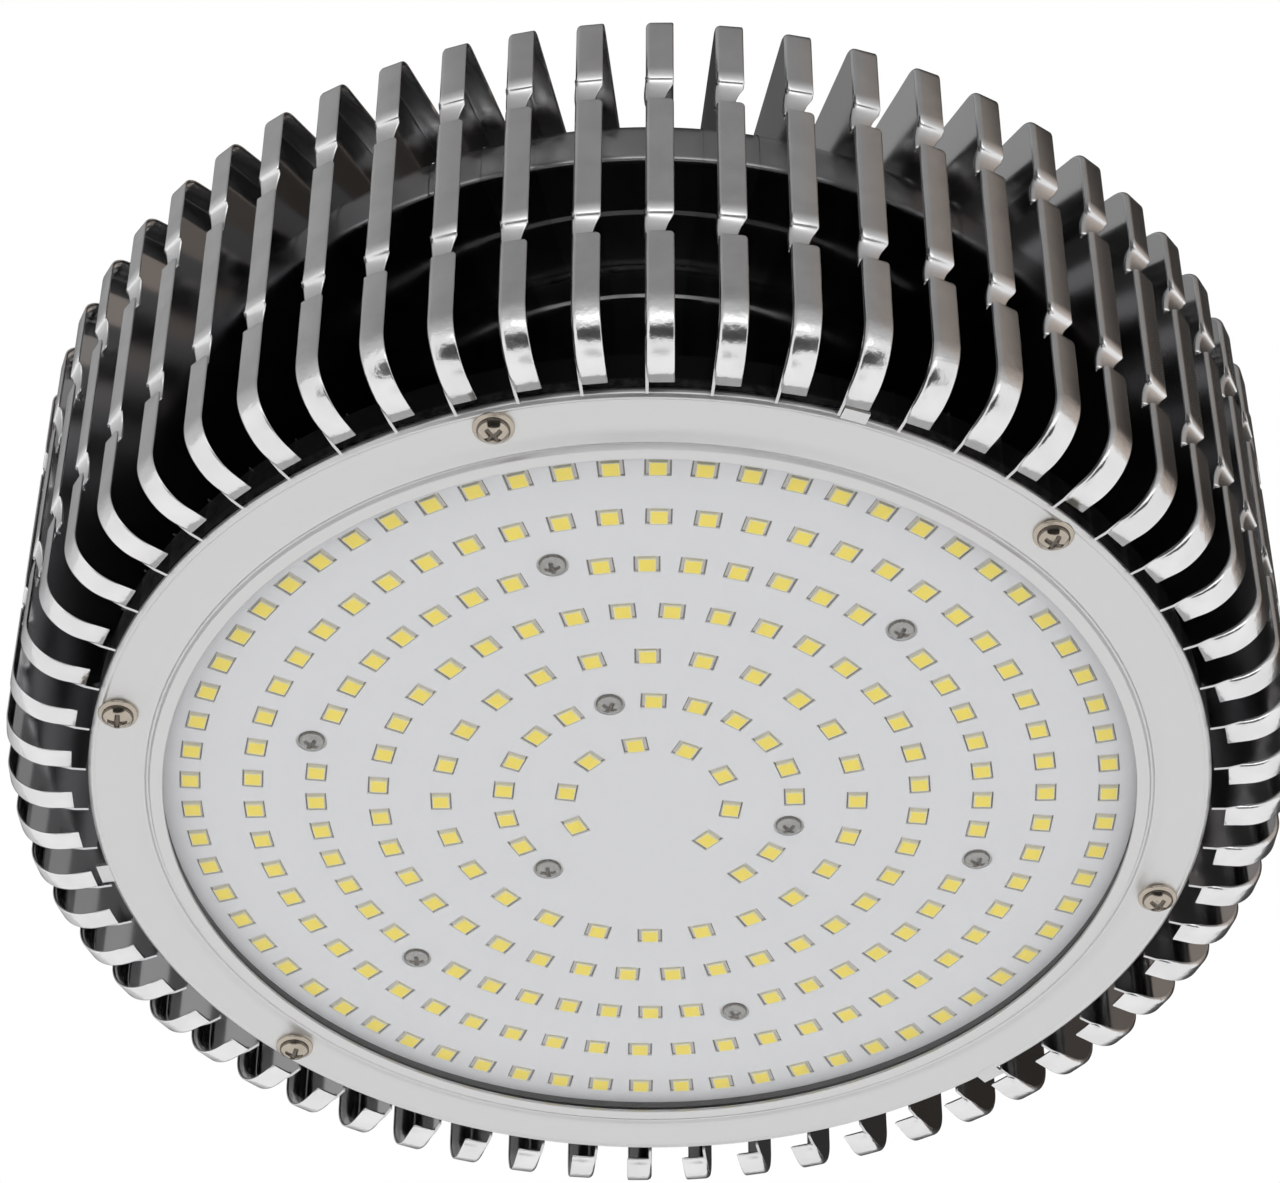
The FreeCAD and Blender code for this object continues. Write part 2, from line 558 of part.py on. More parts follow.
# ------------------------------------------------------------------ top lid
# A spun aluminium lid that covers the driver housing; its skirt reaches down inside the fins'
# upper corners and is the satin band seen between the fins from below.
BOSS_TOP = "lid_top + lid_boss_tall"
skirt_round = [(f"lid_radius - lid_corner*(1 - cos({a} deg))",
                f"lid_top - lid_corner*(1 - sin({a} deg))") for a in (0, 30, 60, 90)]
inner_round = [(f"lid_radius - lid_sheet - (lid_corner - lid_sheet)*(1 - cos({a} deg))",
                f"{LID_UNDER} - (lid_corner - lid_sheet)*(1 - sin({a} deg))")
               for a in (90, 60, 30, 0)]
lid_blank = turned("lid_blank", [("0", LID_UNDER)] + inner_round + [
    ("lid_radius - lid_sheet", "fin_shelf + fin_gap"), ("lid_radius", "fin_shelf + fin_gap")]
    + skirt_round + [("lid_boss + 1", "lid_top"), ("lid_boss", BOSS_TOP), ("0", BOSS_TOP)])
lid_screw_hole = cylinder("lid_screw_hole", "lid_shank + screw_room", "lid_sheet*4",
                          "lid_top - lid_sheet*2")
stem_hole = cylinder("stem_hole", "eye_stem + stem_room", "lid_top", "lid_top/2")
gland_hole = cylinder("gland_hole", "gland_thread + gland_room", "lid_sheet*4",
                      "lid_top - lid_sheet*2", "gland_place", "gland_angle*1 deg")
keep(cut("lid", lid_blank, [copies("lid_screw_holes", lid_screw_hole, LID_SCREWS), stem_hole,
                            gland_hole]), "top_lid")
keep(copies("lid_screw_set", down_screw("lid_screw", "lid_top", "lid_head", "lid_head_tall",
                                        "lid_shank", "lid_screw_deep"), LID_SCREWS), "lid_screws")

# ------------------------------------------------------------------ hanging eye
# A forged eye with a collar that seats on the lid's boss; its stem goes through the lid and is
# held by a washer and nut.  The eye's hole is reamed, which leaves a straight land in the ring.
EYE_SEAT = BOSS_TOP
EYE_RING = "eye_hole + eye_limb/2"
EYE_CENTRE = f"{EYE_SEAT} + eye_collar_tall + eye_neck + {EYE_RING}"
STEM_DOWN = "lid_boss_tall + lid_sheet + washer_thick + nut_tall + stem_spare"
collar_and_stem = turned("collar_and_stem", [
    ("0", f"{EYE_SEAT} - ({STEM_DOWN})"), ("eye_stem - 1", f"{EYE_SEAT} - ({STEM_DOWN})"),
    ("eye_stem", f"{EYE_SEAT} - ({STEM_DOWN}) + 1"), ("eye_stem", EYE_SEAT),
    ("eye_collar", EYE_SEAT), ("eye_collar", f"{EYE_SEAT} + eye_collar_tall - 1"),
    ("eye_collar - 1", f"{EYE_SEAT} + eye_collar_tall"),
    ("eye_collar*0.65", f"{EYE_SEAT} + eye_collar_tall"),
    ("eye_collar*0.5", f"{EYE_SEAT} + eye_collar_tall + eye_neck"),
    ("0", f"{EYE_SEAT} + eye_collar_tall + eye_neck")])
ring = doc.addObject("Part::Torus", "eye_ring")
bind(ring, Radius1=EYE_RING, Radius2="sqrt((eye_limb/2)^2 + (eye_land/2)^2)")
ring.Placement = FreeCAD.Placement(FreeCAD.Vector(), FreeCAD.Rotation(FreeCAD.Vector(1, 0, 0), 90))
bind(ring, Placement__Base__z=EYE_CENTRE)
eye_bore = doc.addObject("Part::Cylinder", "eye_bore")
bind(eye_bore, Radius="eye_hole", Height="eye_limb*4")
eye_bore.Placement = FreeCAD.Placement(FreeCAD.Vector(), FreeCAD.Rotation(FreeCAD.Vector(1, 0, 0), 90))
bind(eye_bore, Placement__Base__y="eye_limb*2", Placement__Base__z=EYE_CENTRE)
keep(cut("eye", fuse("eye_blank", [collar_and_stem, ring]), [eye_bore]), "hanging_eye")

NUT_TOP = f"{LID_UNDER} - washer_thick"
keep(turned("washer", [
    ("eye_stem + stem_room", NUT_TOP), ("washer_radius", NUT_TOP), ("washer_radius", LID_UNDER),
    ("eye_stem + stem_room", LID_UNDER)]), "eye_washer")


def hexagon(name, flats, tall, base, across="0", angle="0"):
    """An upright hexagonal prism, given by its width across flats."""
    prism = doc.addObject("Part::Prism", name)
    prism.Polygon = 6
    bind(prism, Circumradius=f"({flats})/sqrt(3)", Height=tall, Placement__Base__z=base)
    bind(prism, Placement__Base__x=f"({across})*cos({angle})")
    bind(prism, Placement__Base__y=f"({across})*sin({angle})")
    return prism


nut_bore = cylinder("nut_bore", "eye_stem + screw_room", "nut_tall*2", f"{NUT_TOP} - nut_tall*1.5")
keep(cut("nut", hexagon("nut_hex", "nut_flats", "nut_tall", f"{NUT_TOP} - nut_tall"), [nut_bore]),
     "eye_nut")

# ------------------------------------------------------------------ cable gland
# Body with a hexagon that seats on the lid, a rubber collet inside its upper thread, a cap nut
# that squeezes the collet, and a locknut below the lid.
GLAND = ("gland_place", "gland_angle*1 deg")
HEX_TOP = "lid_top + gland_hex_tall"
COLLET_SEAT = f"{HEX_TOP} - 1"
THREAD_TOP = f"{HEX_TOP} + gland_collet_tall - 1"
CAP_TOP = f"{HEX_TOP} + gland_cap_tall + 0.3"
gland_shape = fuse("gland_shape", [
    hexagon("gland_hexagon", "gland_hex", "gland_hex_tall", "lid_top", *GLAND),
    cylinder("gland_rod", "gland_thread",
             f"{THREAD_TOP} - {LID_UNDER} + gland_below", f"{LID_UNDER} - gland_below", *GLAND)])
keep(cut("gland", gland_shape, [
    cylinder("gland_way", "gland_bore + 1", "lid_top", "lid_top/2", *GLAND),
    cylinder("collet_seat", "gland_collet", "gland_cap_tall*2", COLLET_SEAT, *GLAND)]),
    "gland_body")
keep(cut("collet", cylinder("collet_rod", "gland_collet", "gland_collet_tall + 1", COLLET_SEAT,
                            *GLAND),
         [cylinder("collet_bore", "gland_bore", "gland_cap_tall*3", "lid_top", *GLAND)]),
     "gland_collet")
keep(cut("cap", hexagon("cap_hex", "gland_hex", "gland_cap_tall", f"{HEX_TOP} + 0.3", *GLAND), [
    cylinder("cap_inside", "gland_thread + gland_room",
             f"gland_collet_tall + 0.2", f"{HEX_TOP} - 0.1", *GLAND),
    cylinder("cap_mouth", "gland_bore + 1.5", "gland_cap_tall*3", HEX_TOP, *GLAND)]), "gland_cap")
keep(cut("locknut", hexagon("locknut_hexagon", "locknut_hex", "locknut_tall",
                            f"{LID_UNDER} - locknut_tall", *GLAND),
         [cylinder("locknut_bore", "gland_thread + gland_room", "locknut_tall*3",
                   f"{LID_UNDER} - locknut_tall*2", *GLAND)]), "gland_locknut")

# ------------------------------------------------------------------ checks and export
doc.recompute()
for item in doc.Objects:
    if "Invalid" in item.State or "Error" in item.State:
        raise RuntimeError(f"{item.Name} did not compute")
os.makedirs("parts", exist_ok=True)
for item in SUBPARTS:
    if item.Shape.isNull() or not item.Shape.isValid():
        raise RuntimeError(f"{item.Label} is not a sound solid")
    item.Shape.exportStep(f"parts/{item.Label}.step")
    print(item.Label, len(item.Shape.Solids))
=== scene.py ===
import bpy
import bmesh
import math
import numpy as np
from mathutils import Matrix, geometry


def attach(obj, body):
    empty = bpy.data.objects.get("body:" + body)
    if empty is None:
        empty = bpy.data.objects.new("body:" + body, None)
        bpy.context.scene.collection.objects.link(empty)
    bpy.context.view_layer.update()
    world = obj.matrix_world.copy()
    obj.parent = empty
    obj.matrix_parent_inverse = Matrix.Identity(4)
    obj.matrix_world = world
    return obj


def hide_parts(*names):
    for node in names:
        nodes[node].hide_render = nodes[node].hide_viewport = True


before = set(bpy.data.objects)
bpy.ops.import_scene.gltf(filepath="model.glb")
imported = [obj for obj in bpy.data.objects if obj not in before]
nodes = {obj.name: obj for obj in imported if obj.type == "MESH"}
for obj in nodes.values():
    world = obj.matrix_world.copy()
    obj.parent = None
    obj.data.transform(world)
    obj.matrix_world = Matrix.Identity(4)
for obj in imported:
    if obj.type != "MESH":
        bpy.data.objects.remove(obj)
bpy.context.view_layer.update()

# ---------------------------------------------------------------- cooling fins
# Sixty stamped fins of thin bright aluminium stand around the lamp, fixed to the base plate.
# Each is a flat radial plate whose outer edge is folded over to one side and broken by two
# notches, and in each notch a narrower tongue of the folded edge leans inwards.
MM = 0.001
FIN_SHEET = 0.5
FIN_OUTER = 113.2
FIN_TOP = 81.1
FIN_FOOT = 2.0
FIN_HUG = 98.6
FIN_INNER = 60.0
FIN_SHELF = 66.9
FOLD_END = 88.6
LID_SIDE = 93.75
LID_ROUND = 8.65
BASE_TOP = 12.1
FLANGE_END = 101.1
FLANGE_WIDE = 4.7
BOTTOM_BEND = 8.5
TOP_CORNER = 2.8
NOTCHES = ((58.8, 64.2), (24.8, 29.7))
TONGUE_IN = 1.5
TONGUE_GAP = 0.5
TONGUE_SHIFT = 0.30
TONGUE_RISES = (0, 0.3, 0.6, 0.85, 1.02)
TONGUE_WIDTHS = (0.68, 0.76, 0.88, 1.03, 1.0)
TONGUE_BEND = 1.7
SHOULDER_TALL = 0.7
SHOULDER_WIDE = 0.87
FOLD_ROUND = 0.95
EDGE_ROUND = 0.3


def arc(centre, radius, start, end, count):
    """Points of a circular arc, centre plus radius times (cos, sin), in degrees."""
    angle = np.radians(np.linspace(start, end, count))
    return np.column_stack([centre[0] + radius * np.cos(angle), centre[1] + radius * np.sin(angle)])


def tongue_line(low, top):
    """The tongue's edge line: a quarter superellipse, from its tip up to the notch's top, where
    it turns sharply out to the fold."""
    t = 1 - np.linspace(1, 0, 12) ** 1.8
    lean = (1 - t ** TONGUE_BEND) ** (1 / TONGUE_BEND)
    tip = low + TONGUE_GAP
    return np.column_stack([FIN_OUTER - TONGUE_IN * lean, tip + (top - tip) * t])


def fold_paths():
    """The three stretches of the folded edge, each from its lower end up, as (radius, height)."""
    (low_1, top_1), (low_2, top_2) = NOTCHES
    bend = arc((FIN_OUTER - BOTTOM_BEND, FIN_FOOT + BOTTOM_BEND), BOTTOM_BEND, -90, 0, 16)
    corner = arc((FIN_OUTER - TOP_CORNER, FIN_TOP - TOP_CORNER), TOP_CORNER, 0, 90, 7)
    shoulder = np.array([SHOULDER_TALL, 0.4, 0.18, 0.05, 0.0])
    lower = np.vstack([[(FLANGE_END, FIN_FOOT)], bend,
                       np.column_stack([np.full(5, FIN_OUTER), low_2 - shoulder])])
    middle = np.vstack([tongue_line(low_2, top_2), [(FIN_OUTER, top_2 + 3)],
                        np.column_stack([np.full(5, FIN_OUTER), low_1 - shoulder])])
    upper = np.vstack([tongue_line(low_1, top_1), [(FIN_OUTER, top_1 + 3)], corner,
                       [(98.0, FIN_TOP), (FOLD_END, FIN_TOP)]])
    return lower, middle, upper


def fold_section():
    """Across the fold, as (sideways, depth): a round off the plate, the flat, a small cut edge."""
    near = arc((FOLD_ROUND, FOLD_ROUND), FOLD_ROUND, 180, 270, 6)
    far = arc((FLANGE_WIDE - EDGE_ROUND, EDGE_ROUND), EDGE_ROUND, 270, 350, 4)
    return np.vstack([near, far])


def swept(path, width, shift, roll):
    """The section carried along a path: its depth lies along the path's inward normal, its side
    is scaled by the width and moved by the shift at each step."""
    section = fold_section()
    step = np.gradient(path, axis=0)
    step /= np.linalg.norm(step, axis=1)[:, None]
    outward = np.column_stack([step[:, 1], -step[:, 0]])
    side = section[:, 0][None] * width[:, None] + shift[:, None]
    depth = section[:, 1][None] * roll[:, None]
    radius = path[:, :1] - outward[:, :1] * depth
    height = path[:, 1:] - outward[:, 1:] * depth
    points = np.stack([radius, side, height], axis=-1).reshape(-1, 3)
    return points, grid_faces(len(path), len(section))


def grid_faces(rows, columns, round_rows=False, round_columns=False):
    """The quads of a grid of points, with its last row or column joined to the first if round."""
    i, j = np.meshgrid(np.arange(rows if round_rows else rows - 1),
                       np.arange(columns if round_columns else columns - 1), indexing="ij")
    here, over = i * columns, (i + 1) % rows * columns
    along = (j + 1) % columns
    return np.stack([here + j, here + along, over + along, over + j], axis=-1).reshape(-1, 4)


def fold_stretch(path, tongue, shoulder):
    """One stretch of fold: full width, except that a tongue narrows to its tip along straight
    lines between given widths and bulges off the plate as a half sine, and a shoulder's
    corner narrows as a quarter circle."""
    width = np.ones(len(path))
    shift = np.zeros(len(path))
    if tongue:
        rise = (path[:, 1] - path[0, 1]) / (NOTCHES[0][1] - NOTCHES[0][0] - TONGUE_GAP)
        width = np.interp(rise, TONGUE_RISES, TONGUE_WIDTHS)
        shift = -TONGUE_SHIFT * np.sin(np.pi * np.clip(rise, 0, 1)) ** 0.8
    if shoulder:
        end = np.clip((path[-1, 1] - path[:, 1]) / SHOULDER_TALL, 0, 1)
        width = width * (SHOULDER_WIDE + (1 - SHOULDER_WIDE) * np.sqrt(1 - (1 - end) ** 2))
    flat = np.clip((path[:, 0] - FOLD_END) / 12.0, 0.35, 1)
    return swept(path, width, shift, np.where(path[:, 1] > FIN_TOP - TOP_CORNER, flat, 1.0))


def joined(parts):
    """Several (points, faces) pairs as one, with each pair's faces moved on past the last."""
    starts = np.cumsum([0] + [len(points) for points, faces in parts[:-1]])
    return (np.vstack([points for points, faces in parts]),
            np.vstack([np.asarray(faces) + start for (points, faces), start in zip(parts, starts)]))


def plate_outline():
    """The flat plate's edge, set in by the fold's rounding where the fold leaves it, and cut
    back around the lid's rounded rim."""
    inset = FOLD_ROUND * 0.9
    r = FIN_OUTER - inset
    bend = arc((FIN_OUTER - BOTTOM_BEND, FIN_FOOT + BOTTOM_BEND), BOTTOM_BEND - inset, -90, 0, 12)
    corner = arc((FIN_OUTER - TOP_CORNER, FIN_TOP - TOP_CORNER), TOP_CORNER - inset, 0, 90, 6)
    rim = arc((LID_SIDE - LID_ROUND, FIN_TOP - LID_ROUND + 0.15), LID_ROUND, 64, 0, 8)
    (low_1, top_1), (low_2, top_2) = NOTCHES
    stretches = [[(FIN_INNER, BASE_TOP), (FIN_HUG, BASE_TOP), (FIN_HUG, FIN_FOOT + 0.1),
                  (FLANGE_END, FIN_FOOT + 0.1)], bend,
                 [(r, low_2), (r - TONGUE_IN, low_2)], tongue_line(low_2, top_2) - (inset, 0),
                 [(r, low_1), (r - TONGUE_IN, low_1)], tongue_line(low_1, top_1) - (inset, 0), corner,
                 [(FOLD_END + 0.6, FIN_TOP - 0.2)], rim, [(LID_SIDE, FIN_SHELF), (FIN_INNER, FIN_SHELF)]]
    return np.vstack(stretches)


def pressed(outline, thick):
    """A flat outline in the fin's plane given a thickness: two filled faces and a rim."""
    count = len(outline)
    points = np.column_stack([np.tile(outline[:, 0], 2), np.repeat([0.0, thick], count),
                              np.tile(outline[:, 1], 2)])
    fill = np.array(geometry.tessellate_polygon([[(a, b, 0) for a, b in outline]]))
    a, b, c = (outline[fill[:, k]] for k in range(3))
    turn = (b - a)[:, 0] * (c - a)[:, 1] - (b - a)[:, 1] * (c - a)[:, 0]
    fill = np.where((turn > 0)[:, None], fill, fill[:, ::-1])
    here = np.arange(count)
    after = (here + 1) % count
    rim = np.vstack([np.column_stack([here, here + count, after]),
                     np.column_stack([after, here + count, after + count])])
    return points, np.vstack([fill, count + fill[:, ::-1], rim])


def add_mesh(name, points, faces, smooth=True):
    """A mesh object in the lamp's frame from millimetre points."""
    mesh = bpy.data.meshes.new(name)
    mesh.from_pydata((np.asarray(points) * MM).tolist(), [], np.asarray(faces).tolist())
    mesh.polygons.foreach_set("use_smooth", np.full(len(mesh.polygons), smooth))
    thing = bpy.data.objects.new(name, mesh)
    bpy.context.scene.collection.objects.link(thing)
    return thing


def turned_copies(points, faces, angles):
    """The same piece turned about the lamp's axis to each angle: x cos a - y sin a and so on."""
    angles = np.radians(np.asarray(angles, float))[:, None]
    x, y, z = points.T
    px = x * np.cos(angles) - y * np.sin(angles)
    py = x * np.sin(angles) + y * np.cos(angles)
    pz = np.broadcast_to(z, px.shape)
    everywhere = np.stack([px, py, pz], axis=-1).reshape(-1, 3)
    shifts = len(points) * np.arange(len(angles))[:, None, None]
    faces = np.asarray(faces)
    return everywhere, (faces[None] + shifts).reshape(-1, faces.shape[1])


def shaded_by_angle(thing, degrees=35):
    """Smooth shading that keeps the edges sharper than an angle."""
    thing.data.polygons.foreach_set("use_smooth", np.full(len(thing.data.polygons), True))
    thing.data.set_sharp_from_angle(angle=math.radians(degrees))


def nodes_of(name):
    """A new node material with its tree and its Principled shader."""
    material = bpy.data.materials.new(name)
    material.use_nodes = True
    tree = material.node_tree
    return material, tree, tree.nodes["Principled BSDF"]


def link(tree, output, value_in):
    """Joins an output socket to an input socket."""
    tree.links.new(output, value_in)


def fine_noise(tree, scale, detail=3.0):
    """Noise on the piece's own coordinates."""
    place = tree.nodes.new("ShaderNodeTexCoord")
    noise = tree.nodes.new("ShaderNodeTexNoise")
    noise.inputs["Scale"].default_value = scale
    noise.inputs["Detail"].default_value = detail
    link(tree, place.outputs["Object"], noise.inputs["Vector"])
    return noise.outputs["Fac"]


def spread(tree, value, start, end, low, high):
    """A value between start and end mapped to between low and high, and held there."""
    ranged = tree.nodes.new("ShaderNodeMapRange")
    ranged.inputs["From Min"].default_value = start
    ranged.inputs["From Max"].default_value = end
    ranged.inputs["To Min"].default_value = low
    ranged.inputs["To Max"].default_value = high
    link(tree, value, ranged.inputs["Value"])
    return ranged.outputs["Result"]


def two_tone(tree, value, first, second):
    """A colour between two, by a 0 to 1 value."""
    mix = tree.nodes.new("ShaderNodeMix")
    mix.data_type = "RGBA"
    mix.inputs["A"].default_value = (*first, 1)
    mix.inputs["B"].default_value = (*second, 1)
    link(tree, value, mix.inputs["Factor"])
    return mix.outputs["Result"]


def rippled(tree, shader, height, strength, reach):
    """Raises the surface's shading by a height value, as fine grain or dents do."""
    bump = tree.nodes.new("ShaderNodeBump")
    bump.inputs["Strength"].default_value = strength
    bump.inputs["Distance"].default_value = reach
    link(tree, height, bump.inputs["Height"])
    link(tree, bump.outputs["Normal"], shader.inputs["Normal"])
    return bump


def height_of(tree):
    """The height on the lamp, from the piece's own coordinates."""
    place = tree.nodes.new("ShaderNodeTexCoord")
    apart = tree.nodes.new("ShaderNodeSeparateXYZ")
    link(tree, place.outputs["Object"], apart.inputs["Vector"])
    return apart.outputs["Z"]


def surface(name, first, second, smooth, rough, grain=250.0, bump=0.0, metallic=1.0):
    """A finish whose tone and roughness wander a little with a fine noise."""
    material, tree, shader = nodes_of(name)
    noise = fine_noise(tree, grain)
    link(tree, two_tone(tree, noise, first, second), shader.inputs["Base Color"])
    link(tree, spread(tree, noise, 0.3, 0.7, smooth, rough), shader.inputs["Roughness"])
    shader.inputs["Metallic"].default_value = metallic
    if bump:
        rippled(tree, shader, noise, bump, 0.0002)
    return material


def finish_as(thing, material):
    """Gives a piece its finish, in its one material slot."""
    thing.data.materials.clear()
    thing.data.materials.append(material)


def fold_finish():
    """Satin aluminium, polished by the press where it was bent, with small creases there."""
    material, tree, shader = nodes_of("fin_fold_satin")
    height = height_of(tree)
    blotch = fine_noise(tree, 160.0, 4.0)
    link(tree, two_tone(tree, spread(tree, blotch, 0.35, 0.65, 0, 1), (0.78, 0.78, 0.785),
                        (0.86, 0.86, 0.865)), shader.inputs["Base Color"])
    link(tree, spread(tree, height, 0.012, 0.020, 0.20, 0.27), shader.inputs["Roughness"])
    shader.inputs["Metallic"].default_value = 1.0
    creases = fine_noise(tree, 330.0, 4.0)
    near_bend = spread(tree, height, 0.008, 0.014, 0.55, 0.05)
    bump = rippled(tree, shader, creases, 0.5, 0.0003)
    link(tree, near_bend, bump.inputs["Strength"])
    return material


def plate_finish():
    """The plate's rolled aluminium: nearly a mirror, and dulled in soft clouds. Its tone is set lower
    than the fold's, though both are one sheet, as painted shade between the fins.
    """
    material, tree, shader = nodes_of("fin_plate_bright")
    cloud = fine_noise(tree, 45.0, 3.0)
    link(tree, two_tone(tree, cloud, (0.60, 0.60, 0.61), (0.72, 0.72, 0.73)),
         shader.inputs["Base Color"])
    link(tree, spread(tree, cloud, 0.3, 0.7, 0.07, 0.14), shader.inputs["Roughness"])
    shader.inputs["Metallic"].default_value = 1.0
    return material


lower, middle, upper = fold_paths()
fold_parts = [fold_stretch(lower, False, True), fold_stretch(middle, True, True),
              fold_stretch(upper, True, False)]
fold_satin = fold_finish()
plate_bright = plate_finish()
plate_points, plate_faces = pressed(plate_outline(), FIN_SHEET)
for pack in range(12):
    angles = 3.0 + 6.0 * (pack * 5 + np.arange(5))
    folds = add_mesh(f"fin_folds_{pack + 1:02d}", *turned_copies(*joined(fold_parts), angles))
    sheet = folds.modifiers.new("sheet", "SOLIDIFY")
    sheet.thickness = FIN_SHEET * MM
    sheet.offset = -1
    finish_as(folds, fold_satin)
    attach(folds, "root")
    plates = add_mesh(f"fin_plates_{pack + 1:02d}",
                      *turned_copies(plate_points, plate_faces, angles), smooth=False)
    finish_as(plates, plate_bright)
    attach(plates, "root")
    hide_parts(f"fin_pack_{pack + 1:02d}")

# ---------------------------------------------------------------- base plate
# The round plate is machined from aluminium and coloured near black; a band at its lower edge,
# where the bezel seats, is a little less dark. It keeps its cut shape.
def plate_black():
    """Near-black metal down to a height, running into a slightly lighter band below it."""
    material, tree, shader = nodes_of("base_near_black")
    edge = spread(tree, height_of(tree), 0.0062, 0.0068, 1, 0)
    grain = fine_noise(tree, 700.0, 2.0)
    lower_band_tone = two_tone(tree, spread(tree, grain, 0.35, 0.65, 0, 1), (0.02, 0.02, 0.02),
                    (0.06, 0.06, 0.06))
    mix = tree.nodes.new("ShaderNodeMix")
    mix.data_type = "RGBA"
    mix.inputs["A"].default_value = (0.012, 0.012, 0.012, 1)
    link(tree, lower_band_tone, mix.inputs["B"])
    link(tree, edge, mix.inputs["Factor"])
    link(tree, mix.outputs["Result"], shader.inputs["Base Color"])
    link(tree, spread(tree, grain, 0.3, 0.7, 0.35, 0.5), shader.inputs["Roughness"])
    shader.inputs["Metallic"].default_value = 1.0
    return material


def merged_copy(name, degrees=32):
    """A cut piece's own shape with its doubled corners merged, so that its rounds shade evenly."""
    mesh = nodes[name].data.copy()
    shape = bmesh.new()
    shape.from_mesh(mesh)
    bmesh.ops.remove_doubles(shape, verts=shape.verts, dist=1e-6)
    shape.to_mesh(mesh)
    shape.free()
    thing = bpy.data.objects.new(name + "_smooth", mesh)
    bpy.context.scene.collection.objects.link(thing)
    shaded_by_angle(thing, degrees)
    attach(thing, "root")
    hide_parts(name)
    return thing


finish_as(merged_copy("base_plate"), plate_black())

# ---------------------------------------------------------------- driver housing and driver
# A drawn aluminium cup, coloured near black, stands on the base plate and holds the driver: a board on
# four standoffs with its transformer, capacitors, choke and cooling strip.
HOUSE_RADIUS = 58.0


def lathed(outline, count=240, closed=True):
    """An outline of (radius, height) turned about the lamp's axis in equal steps."""
    angle = np.linspace(0, 2 * np.pi, count, endpoint=False)[:, None]
    x = outline[:, 0] * np.cos(angle)
    y = outline[:, 0] * np.sin(angle)
    z = np.broadcast_to(outline[:, 1], x.shape)
    points = np.stack([x, y, z], axis=-1).reshape(-1, 3)
    return points, grid_faces(count, len(outline), True, closed)


def welded(thing):
    """Merges the doubled points at the poles of a turned shape and points its faces outwards."""
    shape = bmesh.new()
    shape.from_mesh(thing.data)
    bmesh.ops.remove_doubles(shape, verts=shape.verts, dist=1e-6)
    bmesh.ops.dissolve_degenerate(shape, edges=shape.edges, dist=1e-7)
    bmesh.ops.recalc_face_normals(shape, faces=shape.faces)
    shape.to_mesh(thing.data)
    shape.free()
    return thing


housing_black = surface("housing_black", (0.010, 0.010, 0.011), (0.018, 0.018, 0.019), 0.35, 0.5,
                        metallic=0.0)
finish_as(merged_copy("driver_housing"), housing_black)
rim_lines = [np.array([(HOUSE_RADIUS, 78.5), (HOUSE_RADIUS + 0.9, 78.7), (HOUSE_RADIUS + 0.9, 79.7),
                       (HOUSE_RADIUS, 79.8)]),
             np.array([(HOUSE_RADIUS, 72.0), (HOUSE_RADIUS + 0.35, 72.5), (HOUSE_RADIUS, 73.0)])]
rims = welded(add_mesh("housing_beads", *joined([lathed(line, 180) for line in rim_lines])))
shaded_by_angle(rims, 40)
finish_as(rims, surface("bead_worn", (0.22, 0.22, 0.22), (0.42, 0.42, 0.42), 0.25, 0.4))
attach(rims, "root")
DRIVER_FINISHES = {
    "driver_board": surface("driver_green", (0.02, 0.13, 0.06), (0.03, 0.17, 0.08), 0.35, 0.45,
                            metallic=0.0),
    "transformer_core": surface("ferrite_black", (0.03, 0.03, 0.032), (0.06, 0.06, 0.06), 0.6, 0.75,
                                metallic=0.0),
    "transformer_coil": surface("coil_tape", (0.62, 0.42, 0.05), (0.70, 0.50, 0.09), 0.35, 0.45,
                                metallic=0.0),
    "driver_choke": surface("choke_copper", (0.62, 0.28, 0.12), (0.72, 0.35, 0.16), 0.25, 0.4),
    "driver_capacitors": surface("film_capacitor", (0.35, 0.04, 0.03), (0.42, 0.06, 0.04), 0.3, 0.45,
                                 metallic=0.0),
    "output_capacitor": surface("sleeve_black", (0.02, 0.02, 0.03), (0.04, 0.04, 0.05), 0.25, 0.35,
                                metallic=0.0),
    "driver_transistors": surface("epoxy_black", (0.02, 0.02, 0.02), (0.035, 0.035, 0.035), 0.5, 0.6,
                                  metallic=0.0),
    "driver_heat_strip": surface("strip_aluminium", (0.62, 0.62, 0.63), (0.72, 0.72, 0.73), 0.3, 0.4),
    "terminal_block": surface("terminal_green", (0.04, 0.28, 0.10), (0.05, 0.34, 0.13), 0.4, 0.5,
                              metallic=0.0),
    "driver_standoffs": surface("standoff_brass", (0.62, 0.48, 0.24), (0.70, 0.56, 0.30), 0.22, 0.34),
    "driver_screws": surface("driver_steel", (0.42, 0.42, 0.42), (0.52, 0.52, 0.52), 0.25, 0.35),
    "housing_screws": surface("housing_steel", (0.40, 0.40, 0.40), (0.50, 0.50, 0.50), 0.25, 0.35),
}
for name, material in DRIVER_FINISHES.items():
    finish_as(nodes[name], material)

